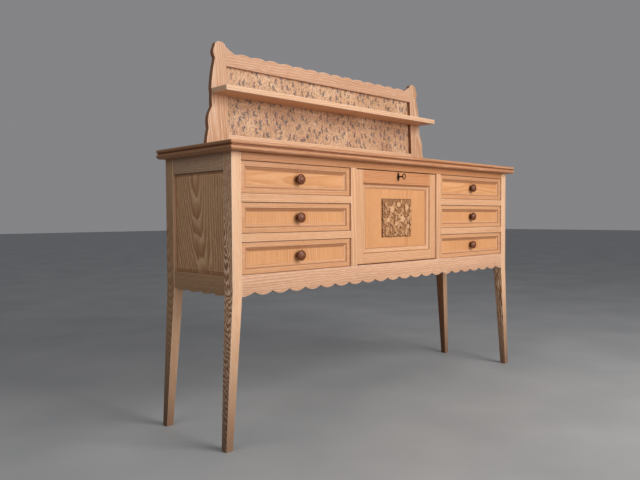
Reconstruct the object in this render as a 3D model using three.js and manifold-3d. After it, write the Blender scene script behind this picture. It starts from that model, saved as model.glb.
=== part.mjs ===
// Sideboard buffet in limed oak: six drawers, a fall flap with a lock and a slotted stay,
// square tapered legs, lobed aprons and a leaning gallery with a shelf and a patterned panel.
// Millimetres, +Z up, front towards -Y.
import * as THREE from 'three';
import { mergeVertices } from 'three/addons/utils/BufferGeometryUtils.js';
import Module from 'manifold-3d';

const wasm = await Module();
wasm.setup();

// ---- driving dimensions -------------------------------------------------------------
const GAP = 0.3;                 // glue-line gap between pieces that touch
const WORKTOP_HEIGHT = 950;
const WORKTOP_THICKNESS = 31;
const WORKTOP_CHAMFER = 8;
const OVERHANG_FRONT = 33;
const OVERHANG_SIDE = 25;
const OVERHANG_BACK = 18;

const BODY_WIDTH = 1616;
const BODY_DEPTH = 382;
const BODY_BOTTOM = 471;
const LEG_FACE = 36.5;           // leg width seen from the front
const LEG_SIDE_FRONT = 44;       // front leg width seen from the side
const LEG_SIDE_REAR = 46;
const LEG_TAPER_START = 478;
const FOOT_SIZE = 26;
const FOOT_SPLAY = 30;
const REAR_FOOT_INSET = 10;
const SIDE_RAIL_SETBACK = 2;
const APRON_SETBACK = 1;

const BAY_WIDTH = 494;
const PARTITION_WIDTH = 30.5;
const PARTITION_DEPTH = 368;
const BAY_BOTTOM = 537.5;
const BAY_TOP = 894.5;
const RAIL_HEIGHT = 26;
const LOWER_RAIL_Z = 640.5;
const UPPER_RAIL_Z = 765.5;
const RAIL_DEPTH = 26;
const TOP_RAIL_DEPTH = 28;
const BOARD_THICKNESS = 10;
const APRON_THICKNESS = 20;

const LOBE_PITCH = 72.1;
const LOBE_DROP = 11.5;
const LOBE_STEPS = 8;
const APRON_LOBES = 20;
const GALLERY_LOBES = 14;
const GALLERY_LOBE_RISE = 6.5;
const SIDE_LOBES = 4;

const SIDE_RAIL_THICKNESS = 22;
const SIDE_PANEL_THICKNESS = 12;
const SIDE_PANEL_SETBACK = 9;
const SIDE_PANEL_TOP = 865;
const SIDE_PANEL_BOTTOM = 534.5;
const BACK_THICKNESS = 8;
const FLOOR_THICKNESS = 16;

const GALLERY_FACE = 363;        // front face of the gallery where it stands on the worktop
const GALLERY_LEAN = 0.04;       // backward lean per unit of height
const GALLERY_THICKNESS = 20;
const GALLERY_INNER = 550;       // half the clear width between the stiles
const GALLERY_RAIL_TOP = 1334;
const GALLERY_RAIL_BOTTOM = 1280;
const GALLERY_BASE_TOP = 1025;
const STILE_TOP = 1366;
const SHOULDER_TOP = 1351;
// The stile's outer edge: each wave's heights, its distance from the centre at both ends, and
// how far it swells between them.
const STILE_WAVES = [
  { z0: WORKTOP_HEIGHT, z1: 1042, from: 652, to: 638, swell: 3 },
  { z0: 1042, z1: 1123, from: 638, to: 620, swell: 9 },
  { z0: 1123, z1: 1168, from: 620, to: 619, swell: 1 },
  { z0: 1190, z1: 1302, from: 621, to: 600, swell: 2.5 },
  { z0: 1302, z1: 1346, from: 600, to: 600, swell: 7 },
];
const STILE_WAVE_STEPS = 5;
// The stile's rounded crest and the rail's hollow shoulder: distance from the centre or from the
// rail's end against the drop below the top.
const STILE_CREST = [[597, 9], [590, 2], [578, 0], [562, 2]];
const SHOULDER_HOLLOW = [[0, 0], [6, 11], [16, 20], [30, 24]];
const TILE_SETBACK = 16;
const TILE_THICKNESS = 3.6;
const SHELF_FRONT = 278;
const SHELF_TOP = 1189;
const SHELF_THICKNESS = 20;
const SHELF_HALF = 621;

const FRONT_RECESS = 7;          // drawer fronts and flap sit this far behind the frame
const FRONT_THICKNESS = 20;
const DRAWER_PLAY = 1;
const DRAWER_BORDER = 17;
const DRAWER_MOULDING = 13;
const FIELD_DEPTH = 6;
const BOX_PLAY = 3;
const BOX_BACK = 352;
const BOX_WALL = 10;
const BOX_FLOOR = 8;
const BOX_HEADROOM = 14;
// The knob's turned outline: radius against height above its seat.
const KNOB_PROFILE = [
  [0, 0], [9, 0], [8, 4], [10, 8], [16, 11], [18, 15], [17, 19], [12, 23.5], [6, 25.5], [0, 26],
];
const KNOB_FACETS = 20;

const FLAP_PLAY_SIDE = 1.5;
const FLAP_PLAY_TOP = 3;
const FLAP_PLAY_BOTTOM = 2.5;
const FLAP_BORDER = 40;
const FLAP_BORDER_TOP = 48;
const FLAP_MOULDING = 20;
const FLAP_PANEL_REBATE = 10;
const FLAP_PANEL_FACE = 16;
const FLAP_PANEL_THICKNESS = 8;
const FLAP_HEEL_RADIUS = 6;
const HINGE_Y = 15;
const HINGE_Z = 548;
const PIN_RADIUS = 4;
const PIN_CLEARANCE = 0.1;
const PIN_IN_FLAP = 24;
const PIN_IN_PARTITION = 12;
const PLAQUE_WIDTH = 180;
const PLAQUE_HEIGHT = 150;
const PLAQUE_THICKNESS = 8;

const KEY_Z = 873;
const KEY_SHAFT_RADIUS = 3;
const KEY_CLEARANCE = 0.4;
const KEY_BIT_RADIUS = 8;
const KEY_BIT_THICKNESS = 1.6;
const KEY_FRONT = -14;
const KEY_BOW_LENGTH = 16;
const KEY_BOW_HEIGHT = 24;
const KEY_BOW_BAR = 3.4;
const ESCUTCHEON_WIDTH = 16;
const ESCUTCHEON_HEIGHT = 34;
const ESCUTCHEON_THICKNESS = 1;
const CASE_WIDTH = 44;
const CASE_DEPTH = 8;
const CASE_BOTTOM = 848;
const CASE_TOP = 889;
const CASE_WALL = 1.4;
const BOLT_WIDTH = 16;
const BOLT_THICKNESS = 4;
const BOLT_LIFT_GAP = 3.6;
const BOLT_TOP = 890.5;

const STAY_RADIUS = 180;         // both stay pivots lie this far from the flap's hinge axis
const STAY_PIVOT_BACK = 24;      // flap pivot's distance behind the hinge axis
const STAY_LAG_DEG = 30;         // angle between the two pivots with the flap closed
const STAY_SWING_DEG = 90;
const STAY_BAR_X = 238;
const STAY_BAR_THICKNESS = 3;
const STAY_BAR_HEIGHT = 14;
const STAY_STUD_RADIUS = 3;
const STAY_RIVET_RADIUS = 2.5;
const STAY_RUNNING = 0.3;
const STAY_BAR_TIP = 8;          // bar beyond the slot's far end
const STAY_BAR_BEHIND_RIVET = 6;
const STAY_CHAMFER_FLAP = 3;     // corner cuts at the rivet end and at the free end
const STAY_CHAMFER_TIP = 4;
const STAY_RIVET_HEAD = 1.5;
const STAY_EAR = 3;              // thickness of the bracket's ear
const STAY_EAR_BEYOND = 6;       // ear behind the rivet
const STAY_EAR_HALF = 7;
const STAY_PLATE = 2;
const STAY_PLATE_WIDTH = 14;
const STAY_PLATE_HALF = 16;
const STAY_STUD_HEAD = 3;
const STAY_STUD_LIP = 2.5;       // how much wider than the stud its head and its rose are
const STAY_STUD_ROSE = 5;
const STAY_ROSE_THICKNESS = 2.5;

// ---- finishes -----------------------------------------------------------------------
const OAK = 0xd7a67c;
const OAK_PANEL = 0xd39a66;
const DARK_OAK = 0x5a3a22;
const CARVED_OAK = 0xb08a5c;
const PATTERNED = 0xd9b48e;
const IRON = 0x3a3532;
const STEEL = 0x8d8f90;
const BRASS = 0xa98a4c;

const object = new THREE.Group();
object.name = 'sideboard_buffet';

function addPiece(name, geometry, color, metalness = 0) {
  const material = new THREE.MeshStandardMaterial({ color, metalness, roughness: 0.6 });
  material.name = name + '_finish';
  const mesh = new THREE.Mesh(geometry, material);
  mesh.name = name;
  object.add(mesh);
}

// ---- shape helpers ------------------------------------------------------------------
function boxGeometry(x0, x1, y0, y1, z0, z1) {
  const geometry = new THREE.BoxGeometry(x1 - x0, y1 - y0, z1 - z0);
  geometry.translate((x0 + x1) / 2, (y0 + y1) / 2, (z0 + z1) / 2);
  return geometry;
}

function prism(points, depth) {
  const shape = new THREE.Shape(points.map(([u, v]) => new THREE.Vector2(u, v)));
  return new THREE.ExtrudeGeometry(shape, { depth, bevelEnabled: false, steps: 1 });
}

// Outline given in (x, z), thickness from y0 to y1.
function prismAlongY(points, y0, y1) {
  const geometry = prism(points, y1 - y0);
  geometry.rotateX(Math.PI / 2);
  geometry.translate(0, y1, 0);
  return geometry;
}

// Outline given in (y, z), thickness from x0 to x1.
function prismAlongX(points, x0, x1) {
  const geometry = prism(points, x1 - x0);
  geometry.applyMatrix4(new THREE.Matrix4().set(0, 0, 1, x0, 1, 0, 0, 0, 0, 1, 0, 0, 0, 0, 0, 1));
  return geometry;
}

// Outline given in (x, y), thickness from z0 to z1.
function prismAlongZ(points, z0, z1) {
  const geometry = prism(points, z1 - z0);
  geometry.translate(0, 0, z0);
  return geometry;
}

function turnedAlongY(profile, segments, x, z) {
  const points = profile.map(([radius, y]) => new THREE.Vector2(radius, y));
  const geometry = new THREE.LatheGeometry(points, segments);
  geometry.translate(x, 0, z);
  return geometry;
}

function rodAlongX(radius, x0, x1, y, z, segments = 24) {
  const geometry = new THREE.CylinderGeometry(radius, radius, x1 - x0, segments);
  geometry.rotateZ(-Math.PI / 2);
  geometry.translate((x0 + x1) / 2, y, z);
  return geometry;
}

function rodAlongY(radius, y0, y1, x, z, segments = 24) {
  const geometry = new THREE.CylinderGeometry(radius, radius, y1 - y0, segments);
  geometry.translate(x, (y0 + y1) / 2, z);
  return geometry;
}

function leanBack(geometry) {
  const position = geometry.attributes.position;
  for (let i = 0; i < position.count; i++) {
    position.setY(i, position.getY(i) + GALLERY_LEAN * (position.getZ(i) - WORKTOP_HEIGHT));
  }
  return geometry;
}

function toSolid(geometry) {
  const bare = geometry.clone();
  bare.deleteAttribute('normal');
  bare.deleteAttribute('uv');
  const merged = mergeVertices(bare, 1e-4);
  const mesh = new wasm.Mesh({
    numProp: 3,
    vertProperties: new Float32Array(merged.attributes.position.array),
    triVerts: new Uint32Array(merged.index.array),
  });
  return new wasm.Manifold(mesh);
}

function toGeometry(solid) {
  const mesh = solid.getMesh();
  const geometry = new THREE.BufferGeometry();
  geometry.setAttribute('position', new THREE.BufferAttribute(new Float32Array(mesh.vertProperties), 3));
  geometry.setIndex(new THREE.BufferAttribute(new Uint32Array(mesh.triVerts), 1));
  geometry.computeVertexNormals();
  return geometry;
}

function joined(...geometries) {
  return toGeometry(geometries.map(toSolid).reduce((a, b) => a.add(b)));
}

function cut(geometry, ...tools) {
  return toGeometry(tools.map(toSolid).reduce((a, b) => a.subtract(b), toSolid(geometry)));
}

// Four-cornered rings stacked in Z, closed top and bottom.
function stackedRings(rings) {
  const positions = [];
  const indices = [];
  for (const ring of rings) {
    positions.push(ring.x0, ring.y0, ring.z, ring.x1, ring.y0, ring.z);
    positions.push(ring.x1, ring.y1, ring.z, ring.x0, ring.y1, ring.z);
  }
  for (let level = 0; level < rings.length - 1; level++) {
    for (let side = 0; side < 4; side++) {
      const a = level * 4 + side;
      const b = level * 4 + (side + 1) % 4;
      indices.push(a, b, b + 4, a, b + 4, a + 4);
    }
  }
  const top = (rings.length - 1) * 4;
  indices.push(0, 2, 1, 0, 3, 2, top, top + 1, top + 2, top, top + 2, top + 3);
  const geometry = new THREE.BufferGeometry();
  geometry.setAttribute('position', new THREE.Float32BufferAttribute(positions, 3));
  geometry.setIndex(indices);
  geometry.computeVertexNormals();
  return geometry;
}

// A tool that sinks a field into a front: full size at the face, smaller at the field.
function fieldTool(x0, x1, z0, z1, moulding, face, depth) {
  const reach = 2;
  const grow = moulding * reach / depth;
  const positions = [];
  for (const [inset, y] of [[-grow, face - reach], [moulding, face + depth]]) {
    positions.push(x0 + inset, y, z0 + inset, x1 - inset, y, z0 + inset);
    positions.push(x1 - inset, y, z1 - inset, x0 + inset, y, z1 - inset);
  }
  const indices = [0, 1, 2, 0, 2, 3, 4, 6, 5, 4, 7, 6];
  for (let side = 0; side < 4; side++) {
    const next = (side + 1) % 4;
    indices.push(side, side + 4, next + 4, side, next + 4, next);
  }
  const geometry = new THREE.BufferGeometry();
  geometry.setAttribute('position', new THREE.Float32BufferAttribute(positions, 3));
  geometry.setIndex(indices);
  geometry.computeVertexNormals();
  geometry.setAttribute('uv', new THREE.Float32BufferAttribute(new Float32Array(16), 2));
  return geometry;
}

// Lower edge of rounded lobes with pointed notches, from start to end.
function lobes(start, count, pitch, lowest, drop) {
  const points = [];
  for (let lobe = 0; lobe < count; lobe++) {
    for (let step = 0; step < LOBE_STEPS; step++) {
      const t = step / LOBE_STEPS;
      points.push([start + (lobe + t) * pitch, lowest + drop * (2 * t - 1) ** 2]);
    }
  }
  points.push([start + count * pitch, lowest + drop]);
  return points;
}

// ---- legs ---------------------------------------------------------------------------
const halfWidth = BODY_WIDTH / 2;
const undersideZ = WORKTOP_HEIGHT - WORKTOP_THICKNESS;
const postTop = undersideZ - GAP;
const innerX = halfWidth - LEG_FACE;
const rearPostFront = BODY_DEPTH - LEG_SIDE_REAR;

function leg(side, rear) {
  const y0 = rear ? rearPostFront : 0;
  const y1 = rear ? BODY_DEPTH : LEG_SIDE_FRONT;
  const footY1 = rear ? BODY_DEPTH - REAR_FOOT_INSET : FOOT_SIZE;
  const outer = side * halfWidth;
  const inner = side * innerX;
  const footOuter = side * (halfWidth + FOOT_SPLAY);
  const footInner = side * (halfWidth + FOOT_SPLAY - FOOT_SIZE);
  const post = { x0: Math.min(outer, inner), x1: Math.max(outer, inner), y0, y1 };
  const foot = {
    x0: Math.min(footOuter, footInner),
    x1: Math.max(footOuter, footInner),
    y0: footY1 - FOOT_SIZE,
    y1: footY1,
  };
  return stackedRings([
    { ...foot, z: 0 },
    { ...post, z: LEG_TAPER_START },
    { ...post, z: postTop },
  ]);
}

for (const [label, side] of [['left', -1], ['right', 1]]) {
  addPiece('leg_front_' + label, leg(side, false), OAK);
  addPiece('leg_rear_' + label, leg(side, true), OAK);
}

// ---- worktop ------------------------------------------------------------------------
const topHalf = halfWidth + OVERHANG_SIDE;
const topBack = BODY_DEPTH + OVERHANG_BACK;
addPiece('worktop', stackedRings([
  {
    x0: -topHalf + WORKTOP_CHAMFER, x1: topHalf - WORKTOP_CHAMFER,
    y0: -OVERHANG_FRONT + WORKTOP_CHAMFER, y1: topBack, z: undersideZ,
  },
  { x0: -topHalf, x1: topHalf, y0: -OVERHANG_FRONT, y1: topBack, z: undersideZ + WORKTOP_CHAMFER },
  { x0: -topHalf, x1: topHalf, y0: -OVERHANG_FRONT, y1: topBack, z: WORKTOP_HEIGHT },
]), OAK);

// ---- side frames --------------------------------------------------------------------
const sideY0 = LEG_SIDE_FRONT + GAP;
const sideY1 = rearPostFront - GAP;
const sidePitch = (sideY1 - sideY0) / SIDE_LOBES;
const sideOuter = halfWidth - SIDE_RAIL_SETBACK;
const sideInner = sideOuter - SIDE_RAIL_THICKNESS;
const panelOuter = halfWidth - SIDE_PANEL_SETBACK;
const panelInner = panelOuter - SIDE_PANEL_THICKNESS;

function spanX(side, inner, outer) {
  return side < 0 ? [-outer, -inner] : [inner, outer];
}

const lobedRail = [
  ...lobes(sideY0, SIDE_LOBES, sidePitch, BODY_BOTTOM, LOBE_DROP),
  [sideY1, SIDE_PANEL_BOTTOM - GAP],
  [sideY0, SIDE_PANEL_BOTTOM - GAP],
];
for (const [label, side] of [['left', -1], ['right', 1]]) {
  const rail = spanX(side, sideInner, sideOuter);
  const panel = spanX(side, panelInner, panelOuter);
  addPiece('side_top_rail_' + label,
    boxGeometry(...rail, sideY0, sideY1, SIDE_PANEL_TOP, postTop), OAK);
  addPiece('side_panel_' + label,
    boxGeometry(...panel, sideY0, sideY1, SIDE_PANEL_BOTTOM, SIDE_PANEL_TOP - GAP), OAK_PANEL);
  addPiece('side_apron_' + label, prismAlongX(lobedRail, ...rail), OAK);
}

// ---- front frame --------------------------------------------------------------------
const frontX = innerX - GAP;
addPiece('front_top_rail', boxGeometry(-frontX, frontX, 0, TOP_RAIL_DEPTH, BAY_TOP, postTop), OAK);

const lobeEnd = APRON_LOBES / 2 * LOBE_PITCH;
const apronBracket = (x) => {
  const t = (x - lobeEnd) / (frontX - lobeEnd);
  return BODY_BOTTOM + LOBE_DROP * (1 - t) ** 2 - t;
};
const bracketSteps = [0.25, 0.5, 0.75, 1].map((t) => lobeEnd + t * (frontX - lobeEnd));
addPiece('front_apron', prismAlongY([
  ...bracketSteps.slice().reverse().map((x) => [-x, apronBracket(x)]),
  ...lobes(-lobeEnd, APRON_LOBES, LOBE_PITCH, BODY_BOTTOM, LOBE_DROP),
  ...bracketSteps.map((x) => [x, apronBracket(x)]),
  [frontX, BAY_BOTTOM],
  [-frontX, BAY_BOTTOM],
], APRON_SETBACK, APRON_SETBACK + APRON_THICKNESS), OAK);

// ---- partitions, dust boards, floor and back ----------------------------------------
const bayEdge = BAY_WIDTH / 2;
const partitionOuter = bayEdge + PARTITION_WIDTH;
for (const [label, side] of [['left', -1], ['right', 1]]) {
  const [x0, x1] = spanX(side, bayEdge, partitionOuter);
  const hole = rodAlongX(PIN_RADIUS + PIN_CLEARANCE, ...spanX(side, bayEdge - 1,
    bayEdge + PIN_IN_PARTITION), HINGE_Y, HINGE_Z);
  const body = boxGeometry(x0, x1, 0, PARTITION_DEPTH, BAY_BOTTOM + GAP, BAY_TOP - GAP);
  addPiece('partition_' + label, cut(body, hole), OAK);
}

for (const [label, side] of [['left', -1], ['right', 1]]) {
  for (const [level, z] of [['upper', UPPER_RAIL_Z], ['lower', LOWER_RAIL_Z]]) {
    const boardZ = z + RAIL_HEIGHT - BOARD_THICKNESS;
    const top = z + RAIL_HEIGHT;
    const between = spanX(side, partitionOuter + GAP, frontX);
    const toPanel = spanX(side, partitionOuter + GAP, panelInner - GAP);
    addPiece('dust_board_' + level + '_' + label, joined(
      boxGeometry(...between, 0, RAIL_DEPTH, z, top),
      boxGeometry(...between, RAIL_DEPTH - 1, PARTITION_DEPTH, boardZ, top),
      boxGeometry(...toPanel, sideY0, sideY1, boardZ, top),
    ), OAK);
  }
}

const floorTop = BAY_BOTTOM;
const floorBottom = floorTop - FLOOR_THICKNESS;
const floorFront = APRON_SETBACK + APRON_THICKNESS + GAP;
addPiece('cabinet_floor', joined(
  boxGeometry(-frontX, frontX, floorFront, PARTITION_DEPTH, floorBottom, floorTop),
  boxGeometry(-sideInner + GAP, sideInner - GAP, sideY0, sideY1, floorBottom, floorTop),
), OAK);
addPiece('back_panel', boxGeometry(-frontX, frontX, PARTITION_DEPTH + GAP,
  PARTITION_DEPTH + GAP + BACK_THICKNESS, floorBottom, postTop), OAK);

// ---- gallery ------------------------------------------------------------------------
// Half outline of a stile: distance from the centre against height, outer edge upwards.
function stileEdge() {
  const edge = [];
  for (const wave of STILE_WAVES) {
    for (let i = 0; i <= STILE_WAVE_STEPS; i++) {
      const t = i / STILE_WAVE_STEPS;
      const bulge = wave.swell * Math.sin(Math.PI * t);
      edge.push([wave.from + (wave.to - wave.from) * t + bulge, wave.z0 + (wave.z1 - wave.z0) * t]);
    }
  }
  return edge.filter((point, i) => i === 0 || point[1] > edge[i - 1][1]);
}

const stileOutline = [
  [GALLERY_INNER, WORKTOP_HEIGHT + GAP],
  ...stileEdge().map(([x, z]) => [x, Math.max(z, WORKTOP_HEIGHT + GAP)]),
  ...STILE_CREST.map(([x, drop]) => [x, STILE_TOP - drop]),
  [GALLERY_INNER, SHOULDER_TOP + 1],
];
const mirrored = stileOutline.map(([x, z]) => [-x, z]).reverse();
const galleryBack = GALLERY_FACE + GALLERY_THICKNESS;
addPiece('gallery_stile_left', leanBack(prismAlongY(mirrored, GALLERY_FACE, galleryBack)), OAK);
addPiece('gallery_stile_right', leanBack(prismAlongY(stileOutline, GALLERY_FACE, galleryBack)), OAK);

const railHalf = GALLERY_INNER - GAP;
const crestHalf = GALLERY_LOBES / 2 * LOBE_PITCH;
const crestEdge = lobes(-crestHalf, GALLERY_LOBES, LOBE_PITCH, -GALLERY_RAIL_TOP, GALLERY_LOBE_RISE);
const shoulder = SHOULDER_HOLLOW.map(([inwards, drop]) => [railHalf - inwards, SHOULDER_TOP - drop]);
addPiece('gallery_top_rail', leanBack(prismAlongY([
  [-railHalf, GALLERY_RAIL_BOTTOM],
  [railHalf, GALLERY_RAIL_BOTTOM],
  ...shoulder,
  ...crestEdge.map(([x, z]) => [x, -z]).reverse(),
  ...shoulder.map(([x, z]) => [-x, z]).reverse(),
], GALLERY_FACE, galleryBack)), OAK);
addPiece('gallery_base_rail', leanBack(boxGeometry(-railHalf, railHalf, GALLERY_FACE, galleryBack,
  WORKTOP_HEIGHT + GAP, GALLERY_BASE_TOP)), OAK);
const tileFront = GALLERY_FACE + TILE_SETBACK;
addPiece('tile_panel', leanBack(boxGeometry(-railHalf, railHalf, tileFront,
  tileFront + TILE_THICKNESS, GALLERY_BASE_TOP + GAP, GALLERY_RAIL_BOTTOM - GAP)), PATTERNED);

const shelfLow = SHELF_TOP - SHELF_THICKNESS;
const leanAtShelf = GALLERY_LEAN * (shelfLow - WORKTOP_HEIGHT);
const shelfAtStile = GALLERY_FACE + leanAtShelf - GAP;
const shelfAtTile = tileFront + leanAtShelf - GAP;
addPiece('gallery_shelf', prismAlongZ([
  [-SHELF_HALF, SHELF_FRONT],
  [SHELF_HALF, SHELF_FRONT],
  [SHELF_HALF, shelfAtStile],
  [railHalf, shelfAtStile],
  [railHalf, shelfAtTile],
  [-railHalf, shelfAtTile],
  [-railHalf, shelfAtStile],
  [-SHELF_HALF, shelfAtStile],
], shelfLow, SHELF_TOP), OAK);

// ---- drawers ------------------------------------------------------------------------
const frontFace = FRONT_RECESS;
const frontBack = FRONT_RECESS + FRONT_THICKNESS;
const bayCentre = partitionOuter + BAY_WIDTH / 2;
const drawerLevels = [
  ['upper', UPPER_RAIL_Z + RAIL_HEIGHT, BAY_TOP],
  ['middle', LOWER_RAIL_Z + RAIL_HEIGHT, UPPER_RAIL_Z],
  ['lower', BAY_BOTTOM, LOWER_RAIL_Z],
];

function drawerFront(x, z0, z1) {
  const half = BAY_WIDTH / 2 - DRAWER_PLAY;
  const body = boxGeometry(x - half, x + half, frontFace, frontBack, z0, z1);
  const edge = half - DRAWER_BORDER;
  return cut(body, fieldTool(x - edge, x + edge, z0 + DRAWER_BORDER, z1 - DRAWER_BORDER,
    DRAWER_MOULDING, frontFace, FIELD_DEPTH));
}

function drawerBox(x, z0, z1) {
  const half = BAY_WIDTH / 2 - BOX_PLAY;
  const front = frontBack + GAP;
  const body = boxGeometry(x - half, x + half, front, BOX_BACK, z0, z1);
  const inside = boxGeometry(x - half + BOX_WALL, x + half - BOX_WALL, front + BOX_WALL,
    BOX_BACK - BOX_WALL, z0 + BOX_FLOOR, z1 + BOX_WALL);
  return cut(body, inside);
}

function knob(x, z) {
  const seat = frontFace + FIELD_DEPTH - GAP;
  const profile = KNOB_PROFILE.map(([radius, out]) => [radius, seat - out]);
  return turnedAlongY(profile.reverse(), KNOB_FACETS, x, z);
}

for (const [label, side] of [['left', -1], ['right', 1]]) {
  for (const [level, low, high] of drawerLevels) {
    const z0 = low + DRAWER_PLAY;
    const z1 = high - DRAWER_PLAY;
    const x = side * bayCentre;
    const name = 'drawer_' + level + '_' + label;
    addPiece(name + '_front', drawerFront(x, z0, z1), OAK);
    addPiece(name + '_box', drawerBox(x, z0, z1 - BOX_HEADROOM), OAK);
    addPiece(name + '_knob', knob(x, (low + high) / 2), DARK_OAK);
  }
}

// ---- fall flap ----------------------------------------------------------------------
const flapHalf = bayEdge - FLAP_PLAY_SIDE;
const flapBottom = BAY_BOTTOM + FLAP_PLAY_BOTTOM;
const flapTop = BAY_TOP - FLAP_PLAY_TOP;
const heel = [];
for (let i = 0; i <= 4; i++) {
  const angle = Math.PI + i * Math.PI / 8;
  heel.push([
    frontFace + FLAP_HEEL_RADIUS + FLAP_HEEL_RADIUS * Math.cos(angle),
    flapBottom + FLAP_HEEL_RADIUS + FLAP_HEEL_RADIUS * Math.sin(angle),
  ]);
}
const flapSection = [...heel, [frontBack, flapBottom], [frontBack, flapTop], [frontFace, flapTop]];
const moulded = {
  x: flapHalf - FLAP_BORDER,
  z0: flapBottom + FLAP_BORDER,
  z1: flapTop - FLAP_BORDER_TOP,
};
const openX = moulded.x - FLAP_MOULDING;
const openZ0 = moulded.z0 + FLAP_MOULDING;
const openZ1 = moulded.z1 - FLAP_MOULDING;
const rebateX = openX + FLAP_PANEL_REBATE;
const rebateZ0 = openZ0 - FLAP_PANEL_REBATE;
const rebateZ1 = openZ1 + FLAP_PANEL_REBATE;
addPiece('flap_frame', cut(
  prismAlongX(flapSection, -flapHalf, flapHalf),
  fieldTool(-moulded.x, moulded.x, moulded.z0, moulded.z1, FLAP_MOULDING, frontFace,
    FLAP_PANEL_FACE - frontFace),
  boxGeometry(-openX, openX, frontFace - 1, frontBack + 1, openZ0, openZ1),
  boxGeometry(-rebateX, rebateX, FLAP_PANEL_FACE, frontBack + 1, rebateZ0, rebateZ1),
  rodAlongX(PIN_RADIUS + PIN_CLEARANCE, -flapHalf - 1, -flapHalf + PIN_IN_FLAP, HINGE_Y, HINGE_Z),
  rodAlongX(PIN_RADIUS + PIN_CLEARANCE, flapHalf - PIN_IN_FLAP, flapHalf + 1, HINGE_Y, HINGE_Z),
  rodAlongY(KEY_SHAFT_RADIUS + KEY_CLEARANCE, frontFace - 1, frontBack + 1, 0, KEY_Z),
), OAK);
addPiece('flap_panel', boxGeometry(-rebateX + GAP, rebateX - GAP, FLAP_PANEL_FACE + GAP,
  FLAP_PANEL_FACE + GAP + FLAP_PANEL_THICKNESS, rebateZ0 + GAP, rebateZ1 - GAP), OAK_PANEL);
const plaqueZ = (openZ0 + openZ1) / 2;
addPiece('carved_plaque', boxGeometry(-PLAQUE_WIDTH / 2, PLAQUE_WIDTH / 2,
  FLAP_PANEL_FACE - PLAQUE_THICKNESS, FLAP_PANEL_FACE, plaqueZ - PLAQUE_HEIGHT / 2,
  plaqueZ + PLAQUE_HEIGHT / 2), CARVED_OAK);

for (const [label, side] of [['left', -1], ['right', 1]]) {
  const span = spanX(side, flapHalf - PIN_IN_FLAP + GAP, bayEdge + PIN_IN_PARTITION - GAP);
  addPiece('flap_pivot_pin_' + label, rodAlongX(PIN_RADIUS, ...span, HINGE_Y, HINGE_Z), STEEL, 1);
}

// ---- lock ---------------------------------------------------------------------------
const plateBack = frontFace - GAP;
addPiece('escutcheon', cut(
  boxGeometry(-ESCUTCHEON_WIDTH / 2, ESCUTCHEON_WIDTH / 2, plateBack - ESCUTCHEON_THICKNESS,
    plateBack, KEY_Z - ESCUTCHEON_HEIGHT / 2, KEY_Z + ESCUTCHEON_HEIGHT / 2),
  rodAlongY(KEY_SHAFT_RADIUS + KEY_CLEARANCE, plateBack - 3, plateBack + 1, 0, KEY_Z),
), IRON, 1);

const caseFront = frontBack + GAP;
const caseBack = caseFront + CASE_DEPTH;
const chamber0 = caseFront + CASE_WALL;
const chamber1 = caseBack - CASE_WALL;
addPiece('lock_case', cut(
  boxGeometry(-CASE_WIDTH / 2, CASE_WIDTH / 2, caseFront, caseBack, CASE_BOTTOM, CASE_TOP),
  rodAlongY(KEY_BIT_RADIUS + 1, chamber0, chamber1, 0, KEY_Z, 32),
  boxGeometry(-BOLT_WIDTH / 2 - GAP, BOLT_WIDTH / 2 + GAP, chamber0, chamber1, KEY_Z, CASE_TOP + 1),
  rodAlongY(KEY_SHAFT_RADIUS + KEY_CLEARANCE, caseFront - 1, chamber0 + 1, 0, KEY_Z),
), BRASS, 1);
const boltMid = (chamber0 + chamber1) / 2;
addPiece('lock_bolt', boxGeometry(-BOLT_WIDTH / 2, BOLT_WIDTH / 2, boltMid - BOLT_THICKNESS / 2,
  boltMid + BOLT_THICKNESS / 2, KEY_Z + BOLT_LIFT_GAP, BOLT_TOP), BRASS, 1);

function bowOutline(inset, reverse) {
  const points = [];
  const steps = 20;
  for (let i = 0; i < steps; i++) {
    const angle = 2 * Math.PI * (reverse ? -i : i) / steps;
    points.push(new THREE.Vector2(
      KEY_FRONT - KEY_BOW_LENGTH / 2 + (KEY_BOW_LENGTH / 2 - inset) * Math.cos(angle),
      KEY_Z + (KEY_BOW_HEIGHT / 2 - inset) * Math.sin(angle),
    ));
  }
  return points;
}
const bowShape = new THREE.Shape(bowOutline(0, false));
bowShape.holes.push(new THREE.Path(bowOutline(KEY_BOW_BAR, true)));
const bow = new THREE.ExtrudeGeometry(bowShape, { depth: KEY_BOW_BAR, bevelEnabled: false });
bow.applyMatrix4(new THREE.Matrix4().set(
  0, 0, 1, -KEY_BOW_BAR / 2, 1, 0, 0, 0, 0, 1, 0, 0, 0, 0, 0, 1));
addPiece('key', joined(
  bow,
  rodAlongY(KEY_SHAFT_RADIUS, KEY_FRONT - 1, chamber1 - GAP, 0, KEY_Z),
  boxGeometry(-KEY_BIT_THICKNESS / 2, KEY_BIT_THICKNESS / 2, chamber0 + GAP, chamber1 - GAP,
    KEY_Z - KEY_BIT_RADIUS, KEY_Z),
), IRON, 1);

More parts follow.
